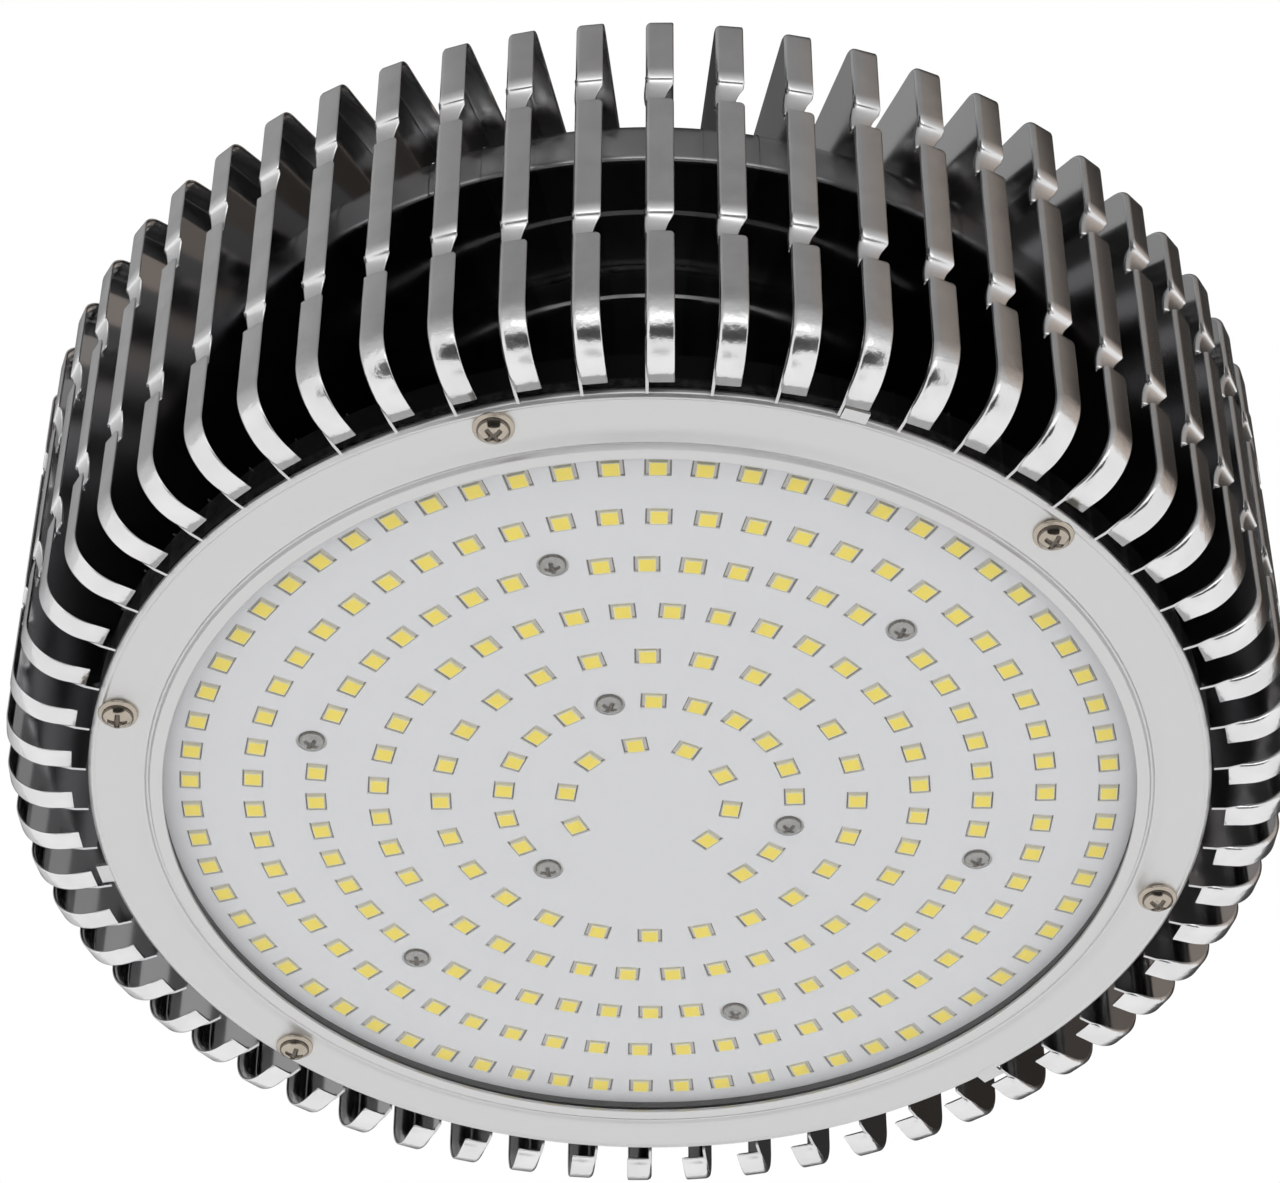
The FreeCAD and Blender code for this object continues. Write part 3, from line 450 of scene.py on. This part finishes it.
# ---------------------------------------------------------------- top lid
# The lid is spun from aluminium sheet, with a rounded rim, a rolled hem at the foot of its skirt
# and a raised boss for the hanging eye. Four screws hold it to the housing.
LID_RADIUS = 93.6
LID_TOP = 81.1
LID_SHEET = 1.2
LID_CORNER = 8.5
LID_FOOT = 67.2
BOSS = (17.0, 2.0)
rim_out = arc((LID_RADIUS - LID_CORNER, LID_TOP - LID_CORNER), LID_CORNER, 0, 90, 14)
rim_in = arc((LID_RADIUS - LID_CORNER, LID_TOP - LID_CORNER), LID_CORNER - LID_SHEET, 90, 0, 12)
hem = arc((LID_RADIUS - 0.8, LID_FOOT + 0.8), 0.8, 180, 360, 9)
lid_line = np.vstack([
    hem, rim_out, [(66.0, LID_TOP), (65.4, LID_TOP - 0.35), (64.6, LID_TOP - 0.35), (64.0, LID_TOP),
                   (BOSS[0] + 1.0, LID_TOP), (BOSS[0] + 0.1, LID_TOP + BOSS[1] - 0.2),
                   (BOSS[0] - 0.4, LID_TOP + BOSS[1]), (0.0, LID_TOP + BOSS[1]),
                   (0.0, LID_TOP - LID_SHEET), (70.4, LID_TOP - LID_SHEET),
                   (70.9, LID_TOP - LID_SHEET - 0.5), (71.5, LID_TOP - LID_SHEET)], rim_in,
    [(LID_RADIUS - LID_SHEET, LID_FOOT + 2.0), (LID_RADIUS - 1.6, LID_FOOT + 1.7)]])
lid = welded(add_mesh("lid_spun", *lathed(lid_line, 288)))
shaded_by_angle(lid, 38)


def spun_finish():
    """Spun aluminium: fine rings about the axis, from a wave of the distance to it."""
    material, tree, shader = nodes_of("lid_spun_aluminium")
    place = tree.nodes.new("ShaderNodeTexCoord")
    rings = tree.nodes.new("ShaderNodeTexWave")
    rings.wave_type = "RINGS"
    rings.rings_direction = "Z"
    rings.inputs["Scale"].default_value = 520.0
    rings.inputs["Distortion"].default_value = 1.5
    rings.inputs["Detail"].default_value = 2.0
    link(tree, place.outputs["Object"], rings.inputs["Vector"])
    cloud = fine_noise(tree, 30.0, 3.0)
    link(tree, two_tone(tree, cloud, (0.42, 0.42, 0.425), (0.50, 0.50, 0.505)),
         shader.inputs["Base Color"])
    link(tree, spread(tree, rings.outputs["Fac"], 0.0, 1.0, 0.285, 0.30), shader.inputs["Roughness"])
    shader.inputs["Metallic"].default_value = 1.0
    return material


finish_as(lid, spun_finish())
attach(lid, "root")
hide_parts("top_lid")
screw_dark = surface("lid_screw_steel", (0.45, 0.45, 0.45), (0.58, 0.58, 0.58), 0.22, 0.32, 500.0)
finish_as(merged_copy("lid_screws"), screw_dark)

# ---------------------------------------------------------------- hanging eye
# The forged steel eye has a collar that seats on the boss, and a threaded stem below the lid with
# a washer and a nut. It is zinc plated.
zinc = surface("eye_zinc", (0.60, 0.60, 0.61), (0.70, 0.70, 0.70), 0.24, 0.36, 120.0, bump=0.05)
for name in ("hanging_eye", "eye_washer", "eye_nut"):
    finish_as(merged_copy(name), zinc)

# ---------------------------------------------------------------- cable gland
# A nickel-plated brass gland is nutted through the lid: a hexagon body, a rubber collet that
# would grip the cable, and a hexagon cap.
gland_nickel = surface("gland_nickel", (0.60, 0.56, 0.48), (0.70, 0.66, 0.57), 0.16, 0.26, 300.0)
collet_rubber = surface("collet_rubber", (0.015, 0.015, 0.015), (0.03, 0.03, 0.03), 0.6, 0.75,
                        300.0, bump=0.1, metallic=0.0)
for name in ("gland_body", "gland_cap", "gland_locknut"):
    gland_piece = merged_copy(name)
    softened = gland_piece.modifiers.new("softened", "BEVEL")
    softened.width = 0.25 * MM
    softened.segments = 2
    softened.limit_method = "ANGLE"
    softened.angle_limit = math.radians(40)
    finish_as(gland_piece, gland_nickel)
finish_as(merged_copy("gland_collet"), collet_rubber)

# ---------------------------------------------------------------- light board
# The board is an aluminium-backed circuit with a white mask, pressed on a grey silicone pad. A
# folded sheet of white film with a window for each emitter lies over it.
BOARD_FINISHES = {
    "led_board": surface("board_mask", (0.66, 0.66, 0.65), (0.72, 0.72, 0.71), 0.35, 0.45,
                         metallic=0.0),
    "thermal_pad": surface("pad_silicone", (0.30, 0.31, 0.33), (0.36, 0.37, 0.39), 0.6, 0.7,
                           metallic=0.0),
    "reflector_sheet": surface("white_film", (0.832, 0.842, 0.872), (0.846, 0.856, 0.886), 0.42, 0.50,
                               90.0, metallic=0.0),
}
for name, material in BOARD_FINISHES.items():
    finish_as(nodes[name], material)

# ---------------------------------------------------------------- screws of the light unit
# Five nickel-plated collar-head screws hold the bezel, and nine smaller steel ones hold the
# board. All have domed heads with a cross recess, pressed in cold, with painted shade in the cross
# and round the head's steep side.
def cross_head(radius, tall, collar, collar_thick, arm_long, arm_wide, deep):
    """A domed head by height over (radius, angle): a power curve, less a cross-shaped recess
    whose floor falls towards the middle; the collar below it is a flat step. The third result
    says which faces lie in the cross or on the steep side, which are given painted shade."""
    inner = np.linspace(0.0, 1.12 * arm_long, 18)
    outer = radius * np.sin(np.radians(np.linspace(35, 90, 12)))
    ring = np.concatenate([inner, outer[outer > inner[-1] + 0.05]])
    angle = np.linspace(0, 2 * np.pi, 73)[:-1][:, None]
    x = ring * np.cos(angle)
    y = ring * np.sin(angle)
    dome = tall * (1 - (ring / radius) ** 2.1 * 0.74)
    dome = np.where(ring >= radius * 0.999, tall * 0.25, dome)
    reach = np.minimum(np.abs(x), np.abs(y))
    along = np.maximum(np.abs(x), np.abs(y))
    arm = arm_wide / 2 * (1.25 - 0.35 * along / arm_long)
    inside = np.clip((arm - reach) / 0.20, 0, 1) * np.clip((arm_long - along) / 0.12, 0, 1)
    height = dome - inside * deep * (1 - 0.5 * along / arm_long)
    rim = [(radius, 0.12 * tall), (radius, 0.0)]
    if collar:
        rim = [(radius * 0.99, 0.1), (radius + 0.1, 0.0), (collar - 0.2, -0.02),
               (collar - 0.05, -0.1), (collar, -0.25), (collar, -collar_thick)]
    edge = np.array(rim)
    ex, ey = edge[:, 0] * np.cos(angle), edge[:, 0] * np.sin(angle)
    ez = np.broadcast_to(edge[:, 1], ex.shape)
    x, y, z = np.hstack([x, ex]), np.hstack([y, ey]), np.hstack([height, ez])
    rows = x.shape[1]
    points = np.stack([x, y, -z], axis=-1).reshape(-1, 3)
    faces = grid_faces(72, rows, True, False)
    # Faces in the cross and round the steep side are flagged for painted shade.
    shaded = np.maximum(inside, np.where(ring > 0.91 * radius, 0.5, 0.0))
    painted_shade_flag = np.hstack([shaded, np.zeros(ex.shape)]).ravel()[faces].max(axis=1)
    return points, faces, (painted_shade_flag > 0.15).astype(int)


def placed_heads(name, head, ring, angles, seat, twists, metal_finish):
    """Copies of a head on a ring, each twisted about itself by its own angle, as one piece."""
    points, faces, recess = head
    parts = []
    for angle, twist in zip(angles, twists):
        c, s = math.cos(math.radians(twist)), math.sin(math.radians(twist))
        turned = points @ np.array([[c, s, 0], [-s, c, 0], [0, 0, 1]])
        away = math.radians(angle)
        parts.append((turned + (ring * math.cos(away), ring * math.sin(away), seat), faces))
    heads = add_mesh(name + "_heads", *joined(parts))
    heads.data.materials.append(metal_finish)
    # The second material is painted shade for the cross and the head's steep side.
    heads.data.materials.append(painted_recess_shade)
    heads.data.polygons.foreach_set("material_index", np.tile(recess, len(parts)).astype(np.int32))
    shaded_by_angle(welded(heads), 50)
    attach(heads, "root")
    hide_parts(name)


screw_nickel = surface("screw_nickel", (0.40, 0.35, 0.29), (0.58, 0.52, 0.44), 0.10, 0.16, 400.0)
screw_steel = surface("screw_steel", (0.40, 0.40, 0.39), (0.58, 0.58, 0.57), 0.08, 0.15, 400.0)
# Painted shade: a dark colour for the cross and the head's steep side, where shade falls.
painted_recess_shade = surface("painted_recess_shade", (0.12, 0.105, 0.09), (0.20, 0.175, 0.15), 0.22, 0.32, 500.0)
placed_heads("bezel_screws", cross_head(2.75, 2.0, 3.45, 0.6, 1.65, 0.85, 0.6), 94.3,
             (0, 120, 180, 240, 300), 2.0, (20, 5, -8, 35, 12), screw_nickel)
board_head = cross_head(2.3, 1.5, 0, 0, 1.3, 0.75, 0.6)
placed_heads("board_screws_outer", board_head, 60.5, range(0, 360, 60), 5.2,
             (10, 40, 75, 20, 60, 5), screw_steel)
placed_heads("board_screws_inner", board_head, 25.6, range(0, 360, 120), 5.2, (30, 70, 15),
             screw_steel)

# ---------------------------------------------------------------- emitters
# Each emitter is a pale moulded package with a yellow face, soldered to the board on two
# pads, and stands a little proud of its window in the white film. Its face glows faintly, which
# is painted light, and a dark band of painted shadow lies round the pale pad in each window.
LED_HALF = 1.5
LED_REACH = 2.5
LED_RING_FIRST = 14.6
LED_RING_STEP = 11.0
LED_FACE = 1.3
LED_FRONT = 4.5
BOARD_FRONT = 5.2
WINDOW = (1.85, 2.25)
PAINTED_SHADOW_EDGE = (0.25, 0.3)


def frame_band(outer, inner, z_outer, z_inner):
    """A band of four quads between two rectangles, given by their half sizes and heights."""
    corners = np.array([(-1, -1), (1, -1), (1, 1), (-1, 1)], float)
    points = np.vstack([np.column_stack([corners * outer, np.full(4, z_outer)]),
                        np.column_stack([corners * inner, np.full(4, z_inner)])])
    return points, np.array([(i, 4 + i, 4 + (i + 1) % 4, (i + 1) % 4) for i in range(4)])


def flat_face(half, z):
    """One quad that faces down, by its half sizes."""
    corners = np.array([(-1, -1), (-1, 1), (1, 1), (1, -1)]) * half
    return np.column_stack([corners, np.full(4, z)]), np.array([(0, 1, 2, 3)])


lip = (LED_HALF - 0.08, LED_HALF - 0.08)
one_emitter = joined([
    frame_band((LED_HALF, LED_HALF), (LED_HALF, LED_HALF), BOARD_FRONT, LED_FRONT + 0.1),
    frame_band((LED_HALF, LED_HALF), lip, LED_FRONT + 0.1, LED_FRONT),
    frame_band(lip, (LED_FACE, LED_FACE), LED_FRONT, LED_FRONT + 0.04),
    flat_face((LED_FACE, LED_FACE), LED_FRONT + 0.04)])
# The pale pad is inset from the window by a band of painted shadow.
pad_size = (WINDOW[0] - PAINTED_SHADOW_EDGE[0], WINDOW[1] - PAINTED_SHADOW_EDGE[1])
one_seat = joined([frame_band(WINDOW, pad_size, BOARD_FRONT - 0.02, BOARD_FRONT - 0.02),
                   flat_face(pad_size, BOARD_FRONT - 0.02)])


def set_at(piece, radius, angles):
    """Copies of a piece, moved out to a radius and turned to each angle."""
    points, faces = piece
    return turned_copies(points + (radius, 0, 0), faces, angles)


package_pale = surface("package_pale", (0.88, 0.84, 0.55), (0.92, 0.88, 0.60), 0.35, 0.45, 400.0,
                       metallic=0.0)
phosphor = surface("phosphor_yellow", (0.97, 0.77, 0.06), (0.98, 0.80, 0.08), 0.5, 0.6, 500.0,
                   metallic=0.0)
phosphor_shader = phosphor.node_tree.nodes["Principled BSDF"]
# The faint emission is painted light that brightens the yellow face.
phosphor_shader.inputs["Emission Color"].default_value = (1, 0.78, 0.1, 1)
phosphor_shader.inputs["Emission Strength"].default_value = 0.11
# Painted shadow: the dark band round each pad at the window's edge.
painted_window_shadow = surface("window_edge_painted_shadow", (0.15, 0.14, 0.14), (0.21, 0.20, 0.20), 0.5, 0.6, 400.0,
                       metallic=0.0)
pad_light = surface("solder_light", (0.62, 0.60, 0.60), (0.70, 0.68, 0.68), 0.35, 0.45, 400.0,
                    metallic=0.0)
seats = []
LED_PLACES = [(10, 30.0), (21, 0.0), (24, 0.0), (36, 0.0), (48, 0.0), (54, 10 / 3), (66, 0.0)]
for ring, (count, first) in enumerate(LED_PLACES, start=1):
    node = nodes[f"led_ring_{ring}"]
    flat = np.empty(len(node.data.vertices) * 3)
    node.data.vertices.foreach_get("co", flat)
    xy = flat.reshape(-1, 3)[:, :2] / MM
    radius = LED_RING_FIRST + LED_RING_STEP * (ring - 1)
    angles = first + 360.0 * np.arange(count) / count
    centres = radius * np.column_stack([np.cos(np.radians(angles)), np.sin(np.radians(angles))])
    near = np.linalg.norm(xy[None] - centres[:, None], axis=2).min(axis=1) < LED_REACH
    angles = angles[near]
    emitters = add_mesh(f"emitters_{ring}", *set_at(one_emitter, radius, angles), smooth=False)
    emitters.data.materials.append(package_pale)
    emitters.data.materials.append(phosphor)
    emitters.data.polygons.foreach_set("material_index",
                                       np.tile([0] * 12 + [1], len(angles)).astype(np.int32))
    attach(emitters, "root")
    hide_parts(f"led_ring_{ring}")
    seats.append(set_at(one_seat, radius, angles))
pads = add_mesh("solder_pads", *joined(seats), smooth=False)
pads.data.materials.append(painted_window_shadow)
pads.data.materials.append(pad_light)
pads.data.polygons.foreach_set("material_index",
                               np.tile([0] * 4 + [1], len(pads.data.polygons) // 5).astype(np.int32))
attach(pads, "root")

# ---------------------------------------------------------------- lens and its seal
# A flat clear disc covers the board, pressed by the bezel on a black rubber seal.
lens_clear, lens_tree, lens_shader = nodes_of("lens_clear")
lens_shader.inputs["Transmission Weight"].default_value = 1.0
lens_shader.inputs["IOR"].default_value = 1.49
lens_smear = fine_noise(lens_tree, 12.0, 2.0)
link(lens_tree, spread(lens_tree, lens_smear, 0.4, 0.7, 0.0, 0.012),
     lens_shader.inputs["Roughness"])
lens_through = lens_tree.nodes.new("ShaderNodeBsdfTransparent")
lens_rays = lens_tree.nodes.new("ShaderNodeLightPath")
lens_mix = lens_tree.nodes.new("ShaderNodeMixShader")
lens_any = lens_tree.nodes.new("ShaderNodeMath")
lens_any.operation = "MAXIMUM"
link(lens_tree, lens_rays.outputs["Is Shadow Ray"], lens_any.inputs[0])
link(lens_tree, lens_rays.outputs["Is Diffuse Ray"], lens_any.inputs[1])
link(lens_tree, lens_any.outputs["Value"], lens_mix.inputs["Fac"])
link(lens_tree, lens_shader.outputs["BSDF"], lens_mix.inputs[1])
link(lens_tree, lens_through.outputs["BSDF"], lens_mix.inputs[2])
link(lens_tree, lens_mix.outputs["Shader"], lens_tree.nodes["Material Output"].inputs["Surface"])
finish_as(nodes["clear_lens"], lens_clear)
finish_as(nodes["lens_seal"], surface("seal_black", (0.02, 0.02, 0.02), (0.04, 0.04, 0.04), 0.6, 0.7,
                                      300.0, metallic=0.0))

# ---------------------------------------------------------------- bezel
# A turned and satin-finished aluminium ring holds the lens. Its face dips a little, a narrow
# groove runs beside the lip, and three small lugs reach out between the fins' feet.
BEZEL_LINE = [((85.2, 1.8), 0.0), ((85.2, 1.2), 0.15), ((87.4, 1.2), 0.2), ((87.7, 2.1), 0.15),
              ((88.1, 2.1), 0.15), ((88.4, 1.7), 0.25), ((90.8, 2.6), 1.5), ((97.0, 2.6), 0.5),
              ((97.5, 2.2), 0.35), ((98.3, 2.9), 0.5), ((98.3, 3.5), 0.1), ((97.4, 3.6), 0.0),
              ((97.4, 4.9), 0.0), ((88.5, 4.9), 0.0), ((88.5, 3.6), 0.0),
              ((87.1, 3.6), 0.0), ((87.1, 1.8), 0.0)]
LUG_ANGLES = [34.75, 154.75, 274.75]


def eased(line):
    """A closed outline with each corner rounded: a quadratic curve between two set-back points."""
    corners = np.array([point for point, radius in line])
    radii = np.array([radius for point, radius in line])
    before = np.roll(corners, 1, axis=0) - corners
    after = np.roll(corners, -1, axis=0) - corners
    long_before = np.linalg.norm(before, axis=1)
    long_after = np.linalg.norm(after, axis=1)
    back = np.minimum(radii, 0.45 * np.minimum(long_before, long_after))[:, None]
    start = corners + before / long_before[:, None] * back
    end = corners + after / long_after[:, None] * back
    points = []
    for i, radius in enumerate(radii):
        t = np.linspace(0, 1, 6)[:, None] if radius > 0 else np.array([[0.5]])
        points.append((1 - t) ** 2 * start[i] + 2 * t * (1 - t) * corners[i] + t ** 2 * end[i])
    return np.vstack(points)


def block(low, high):
    """A plain block between two corners."""
    (x0, y0, z0), (x1, y1, z1) = low, high
    points = np.array([(x, y, z) for z in (z0, z1) for y in (y0, y1) for x in (x0, x1)], float)
    faces = [(0, 2, 3, 1), (4, 5, 7, 6), (0, 1, 5, 4), (2, 6, 7, 3), (0, 4, 6, 2), (1, 3, 7, 5)]
    return points, np.array(faces)


lugs = turned_copies(*block((97.0, -2.2, 2.5), (100.1, 2.2, 3.1)), LUG_ANGLES)
bezel = add_mesh("bezel_turned", *joined([lathed(eased(BEZEL_LINE), 288), lugs]))
shaded_by_angle(welded(bezel))
finish_as(bezel, surface("bezel_satin", (0.665, 0.665, 0.665), (0.690, 0.690, 0.690), 0.32, 0.40,
                         120.0))
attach(bezel, "root")
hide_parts("bezel_ring")

# ---------------------------------------------------------------- floor, light and camera
# The lamp hangs over a pale floor and is seen from below. The room has soft brighter and darker
# sides for the bright metal to mirror, a dark card under the camera puts a dark patch in the
# bends of the fins, and a low strip lamp lights the fins above it.
TURN = math.radians(-13.4)
VIEW_UP = math.radians(44.90)
VIEW_ROLL = math.radians(-0.96)
RING_SCALE = 0.0806
turn = np.array([[math.cos(TURN), -math.sin(TURN), 0], [math.sin(TURN), math.cos(TURN), 0], [0, 0, 1]])
forward = np.array([0, math.cos(VIEW_UP), math.sin(VIEW_UP)])
upward = np.array([0, -math.sin(VIEW_UP), math.cos(VIEW_UP)])
right = np.array([1.0, 0, 0])

FLOOR_HALF = 15000.0
FLOOR_DROP = 950.0
floor_corners = np.array([(-1, -1), (1, -1), (1, 1), (-1, 1)]) * FLOOR_HALF
floor = add_mesh("floor", np.column_stack([floor_corners, np.full(4, -FLOOR_DROP)]), [(0, 1, 2, 3)],
                 smooth=False)
finish_as(floor, surface("floor_pale", (0.78, 0.78, 0.78), (0.82, 0.82, 0.82), 0.75, 0.85, 2.0,
                         metallic=0.0))

CARD_AWAY = 620.0
CARD_HALF = (420.0, 165.0)
card_middle = -CARD_AWAY * forward
card_corners = np.array([(-1, -1), (1, -1), (1, 1), (-1, 1)])
card_points = (card_middle + card_corners[:, :1] * CARD_HALF[0] * right
               + card_corners[:, 1:] * CARD_HALF[1] * upward) @ turn.T
card = add_mesh("dark_card", card_points, [(0, 1, 2, 3)], smooth=False)
finish_as(card, surface("card_black", (0.02, 0.02, 0.02), (0.035, 0.035, 0.035), 0.8, 0.9, 5.0,
                        metallic=0.0))
card.visible_camera = False
card.visible_diffuse = False
card.visible_shadow = False
card.visible_transmission = False

world = bpy.data.worlds.new("plain_room")
world.use_nodes = True
bpy.context.scene.world = world
room = world.node_tree
room.nodes.clear()
room_out = room.nodes.new("ShaderNodeOutputWorld")
room_light = room.nodes.new("ShaderNodeBackground")
room_seen = room.nodes.new("ShaderNodeBackground")
room_mix = room.nodes.new("ShaderNodeMixShader")
rays = room.nodes.new("ShaderNodeLightPath")
direction = room.nodes.new("ShaderNodeTexCoord")
split = room.nodes.new("ShaderNodeSeparateXYZ")
link(room, direction.outputs["Generated"], split.inputs["Vector"])
heights = room.nodes.new("ShaderNodeValToRGB")
link(room, split.outputs["Z"], heights.inputs["Fac"])
ROOM_TONES = [(0.0, 0.55), (0.25, 0.46), (0.45, 0.36), (0.65, 0.27), (1.0, 0.22)]
heights.color_ramp.elements[1].position = 1.0
for place, tone in ROOM_TONES[1:-1]:
    heights.color_ramp.elements.new(place)
for element, (place, tone) in zip(heights.color_ramp.elements, ROOM_TONES):
    element.color = (tone, tone, tone, 1)


def lobe(toward, edge, full, outside, inside):
    """A soft round patch of the room: smoothstep of the cosine to a direction."""
    cosine = room.nodes.new("ShaderNodeVectorMath")
    cosine.operation = "DOT_PRODUCT"
    cosine.inputs[1].default_value = toward
    link(room, direction.outputs["Generated"], cosine.inputs[0])
    patch = room.nodes.new("ShaderNodeMapRange")
    patch.interpolation_type = "SMOOTHSTEP"
    patch.inputs["From Min"].default_value = edge
    patch.inputs["From Max"].default_value = full
    patch.inputs["To Min"].default_value = outside
    patch.inputs["To Max"].default_value = inside
    link(room, cosine.outputs["Value"], patch.inputs["Value"])
    return patch.outputs["Result"]


def times(first, second):
    """Product of two values of the room."""
    product = room.nodes.new("ShaderNodeMath")
    product.operation = "MULTIPLY"
    link(room, first, product.inputs[0])
    link(room, second, product.inputs[1])
    return product.outputs["Value"]


dark_side = lobe((0.58, 0.46, 0.67), 0.50, 0.85, 1.0, 0.12)
left_side = lobe((-0.60, 0.50, 0.62), 0.50, 0.90, 1.0, 1.35)
room_tone = times(times(heights.outputs["Color"], dark_side), left_side)
link(room, room_tone, room_light.inputs["Strength"])
warm = room.nodes.new("ShaderNodeMix")
warm.data_type = "RGBA"
warm.inputs["A"].default_value = (1, 1, 1, 1)
warm.inputs["B"].default_value = (1.0, 0.86, 0.76, 1)
link(room, lobe((0.80, -0.25, 0.55), 0.60, 0.92, 0.0, 1.0), warm.inputs["Factor"])
link(room, warm.outputs["Result"], room_light.inputs["Color"])
room_seen.inputs["Color"].default_value = (1, 1, 1, 1)
room_seen.inputs["Strength"].default_value = 1.0
seen_or_through = room.nodes.new("ShaderNodeMath")
seen_or_through.operation = "MAXIMUM"
link(room, rays.outputs["Is Camera Ray"], seen_or_through.inputs[0])
link(room, rays.outputs["Is Transmission Ray"], seen_or_through.inputs[1])
link(room, seen_or_through.outputs["Value"], room_mix.inputs["Fac"])
link(room, room_light.outputs["Background"], room_mix.inputs[1])
link(room, room_seen.outputs["Background"], room_mix.inputs[2])
link(room, room_mix.outputs["Shader"], room_out.inputs["Surface"])

sky_light = bpy.data.lights.new("sky_light", "SUN")
sky_light.energy = 3.0
sky_light.angle = math.radians(14)
sky = bpy.data.objects.new("sky_light", sky_light)
sky.visible_glossy = False
bpy.context.scene.collection.objects.link(sky)
STRIP_LOW = math.radians(-17.0)
STRIP_AWAY = 1.6
strip_light = bpy.data.lights.new("strip_light", "AREA")
strip_light.shape = "RECTANGLE"
strip_light.size = 1.3
strip_light.size_y = 0.22
strip_light.energy = 1.2
strip = bpy.data.objects.new("strip_light", strip_light)
bpy.context.scene.collection.objects.link(strip)
strip_out = turn @ np.array([0, -math.cos(STRIP_LOW), math.sin(STRIP_LOW)])
strip_up = turn @ np.array([0, math.sin(STRIP_LOW), math.cos(STRIP_LOW)])
strip_side = np.cross(strip_up, strip_out)
strip.matrix_world = Matrix([[strip_side[k], strip_up[k], strip_out[k], STRIP_AWAY * strip_out[k]]
                             for k in range(3)] + [[0, 0, 0, 1]])

camera_data = bpy.data.cameras.new("camera")
camera = bpy.data.objects.new("camera", camera_data)
bpy.context.scene.collection.objects.link(camera)
bpy.context.scene.camera = camera
CAMERA_AT = (-0.147, 0.486, -9.018)
spot = RING_SCALE * (CAMERA_AT[0] * right + CAMERA_AT[1] * upward + CAMERA_AT[2] * forward)
seen_right = math.cos(VIEW_ROLL) * right - math.sin(VIEW_ROLL) * upward
seen_up = math.sin(VIEW_ROLL) * right + math.cos(VIEW_ROLL) * upward
CAMERA_RISE = 0.0008
spot = turn @ spot + (0, 0, CAMERA_RISE)
seen_right, seen_up, backward = turn @ seen_right, turn @ seen_up, -(turn @ forward)
camera.matrix_world = Matrix([[seen_right[0], seen_up[0], backward[0], spot[0]],
                              [seen_right[1], seen_up[1], backward[1], spot[1]],
                              [seen_right[2], seen_up[2], backward[2], spot[2]], [0, 0, 0, 1]])
camera_data.sensor_width = 36.0
camera_data.lens = 116.58
camera_data.shift_x = 0.0430
camera_data.shift_y = -0.0012
camera_data.clip_start = 0.01

bpy.context.scene.view_settings.view_transform = "Standard"
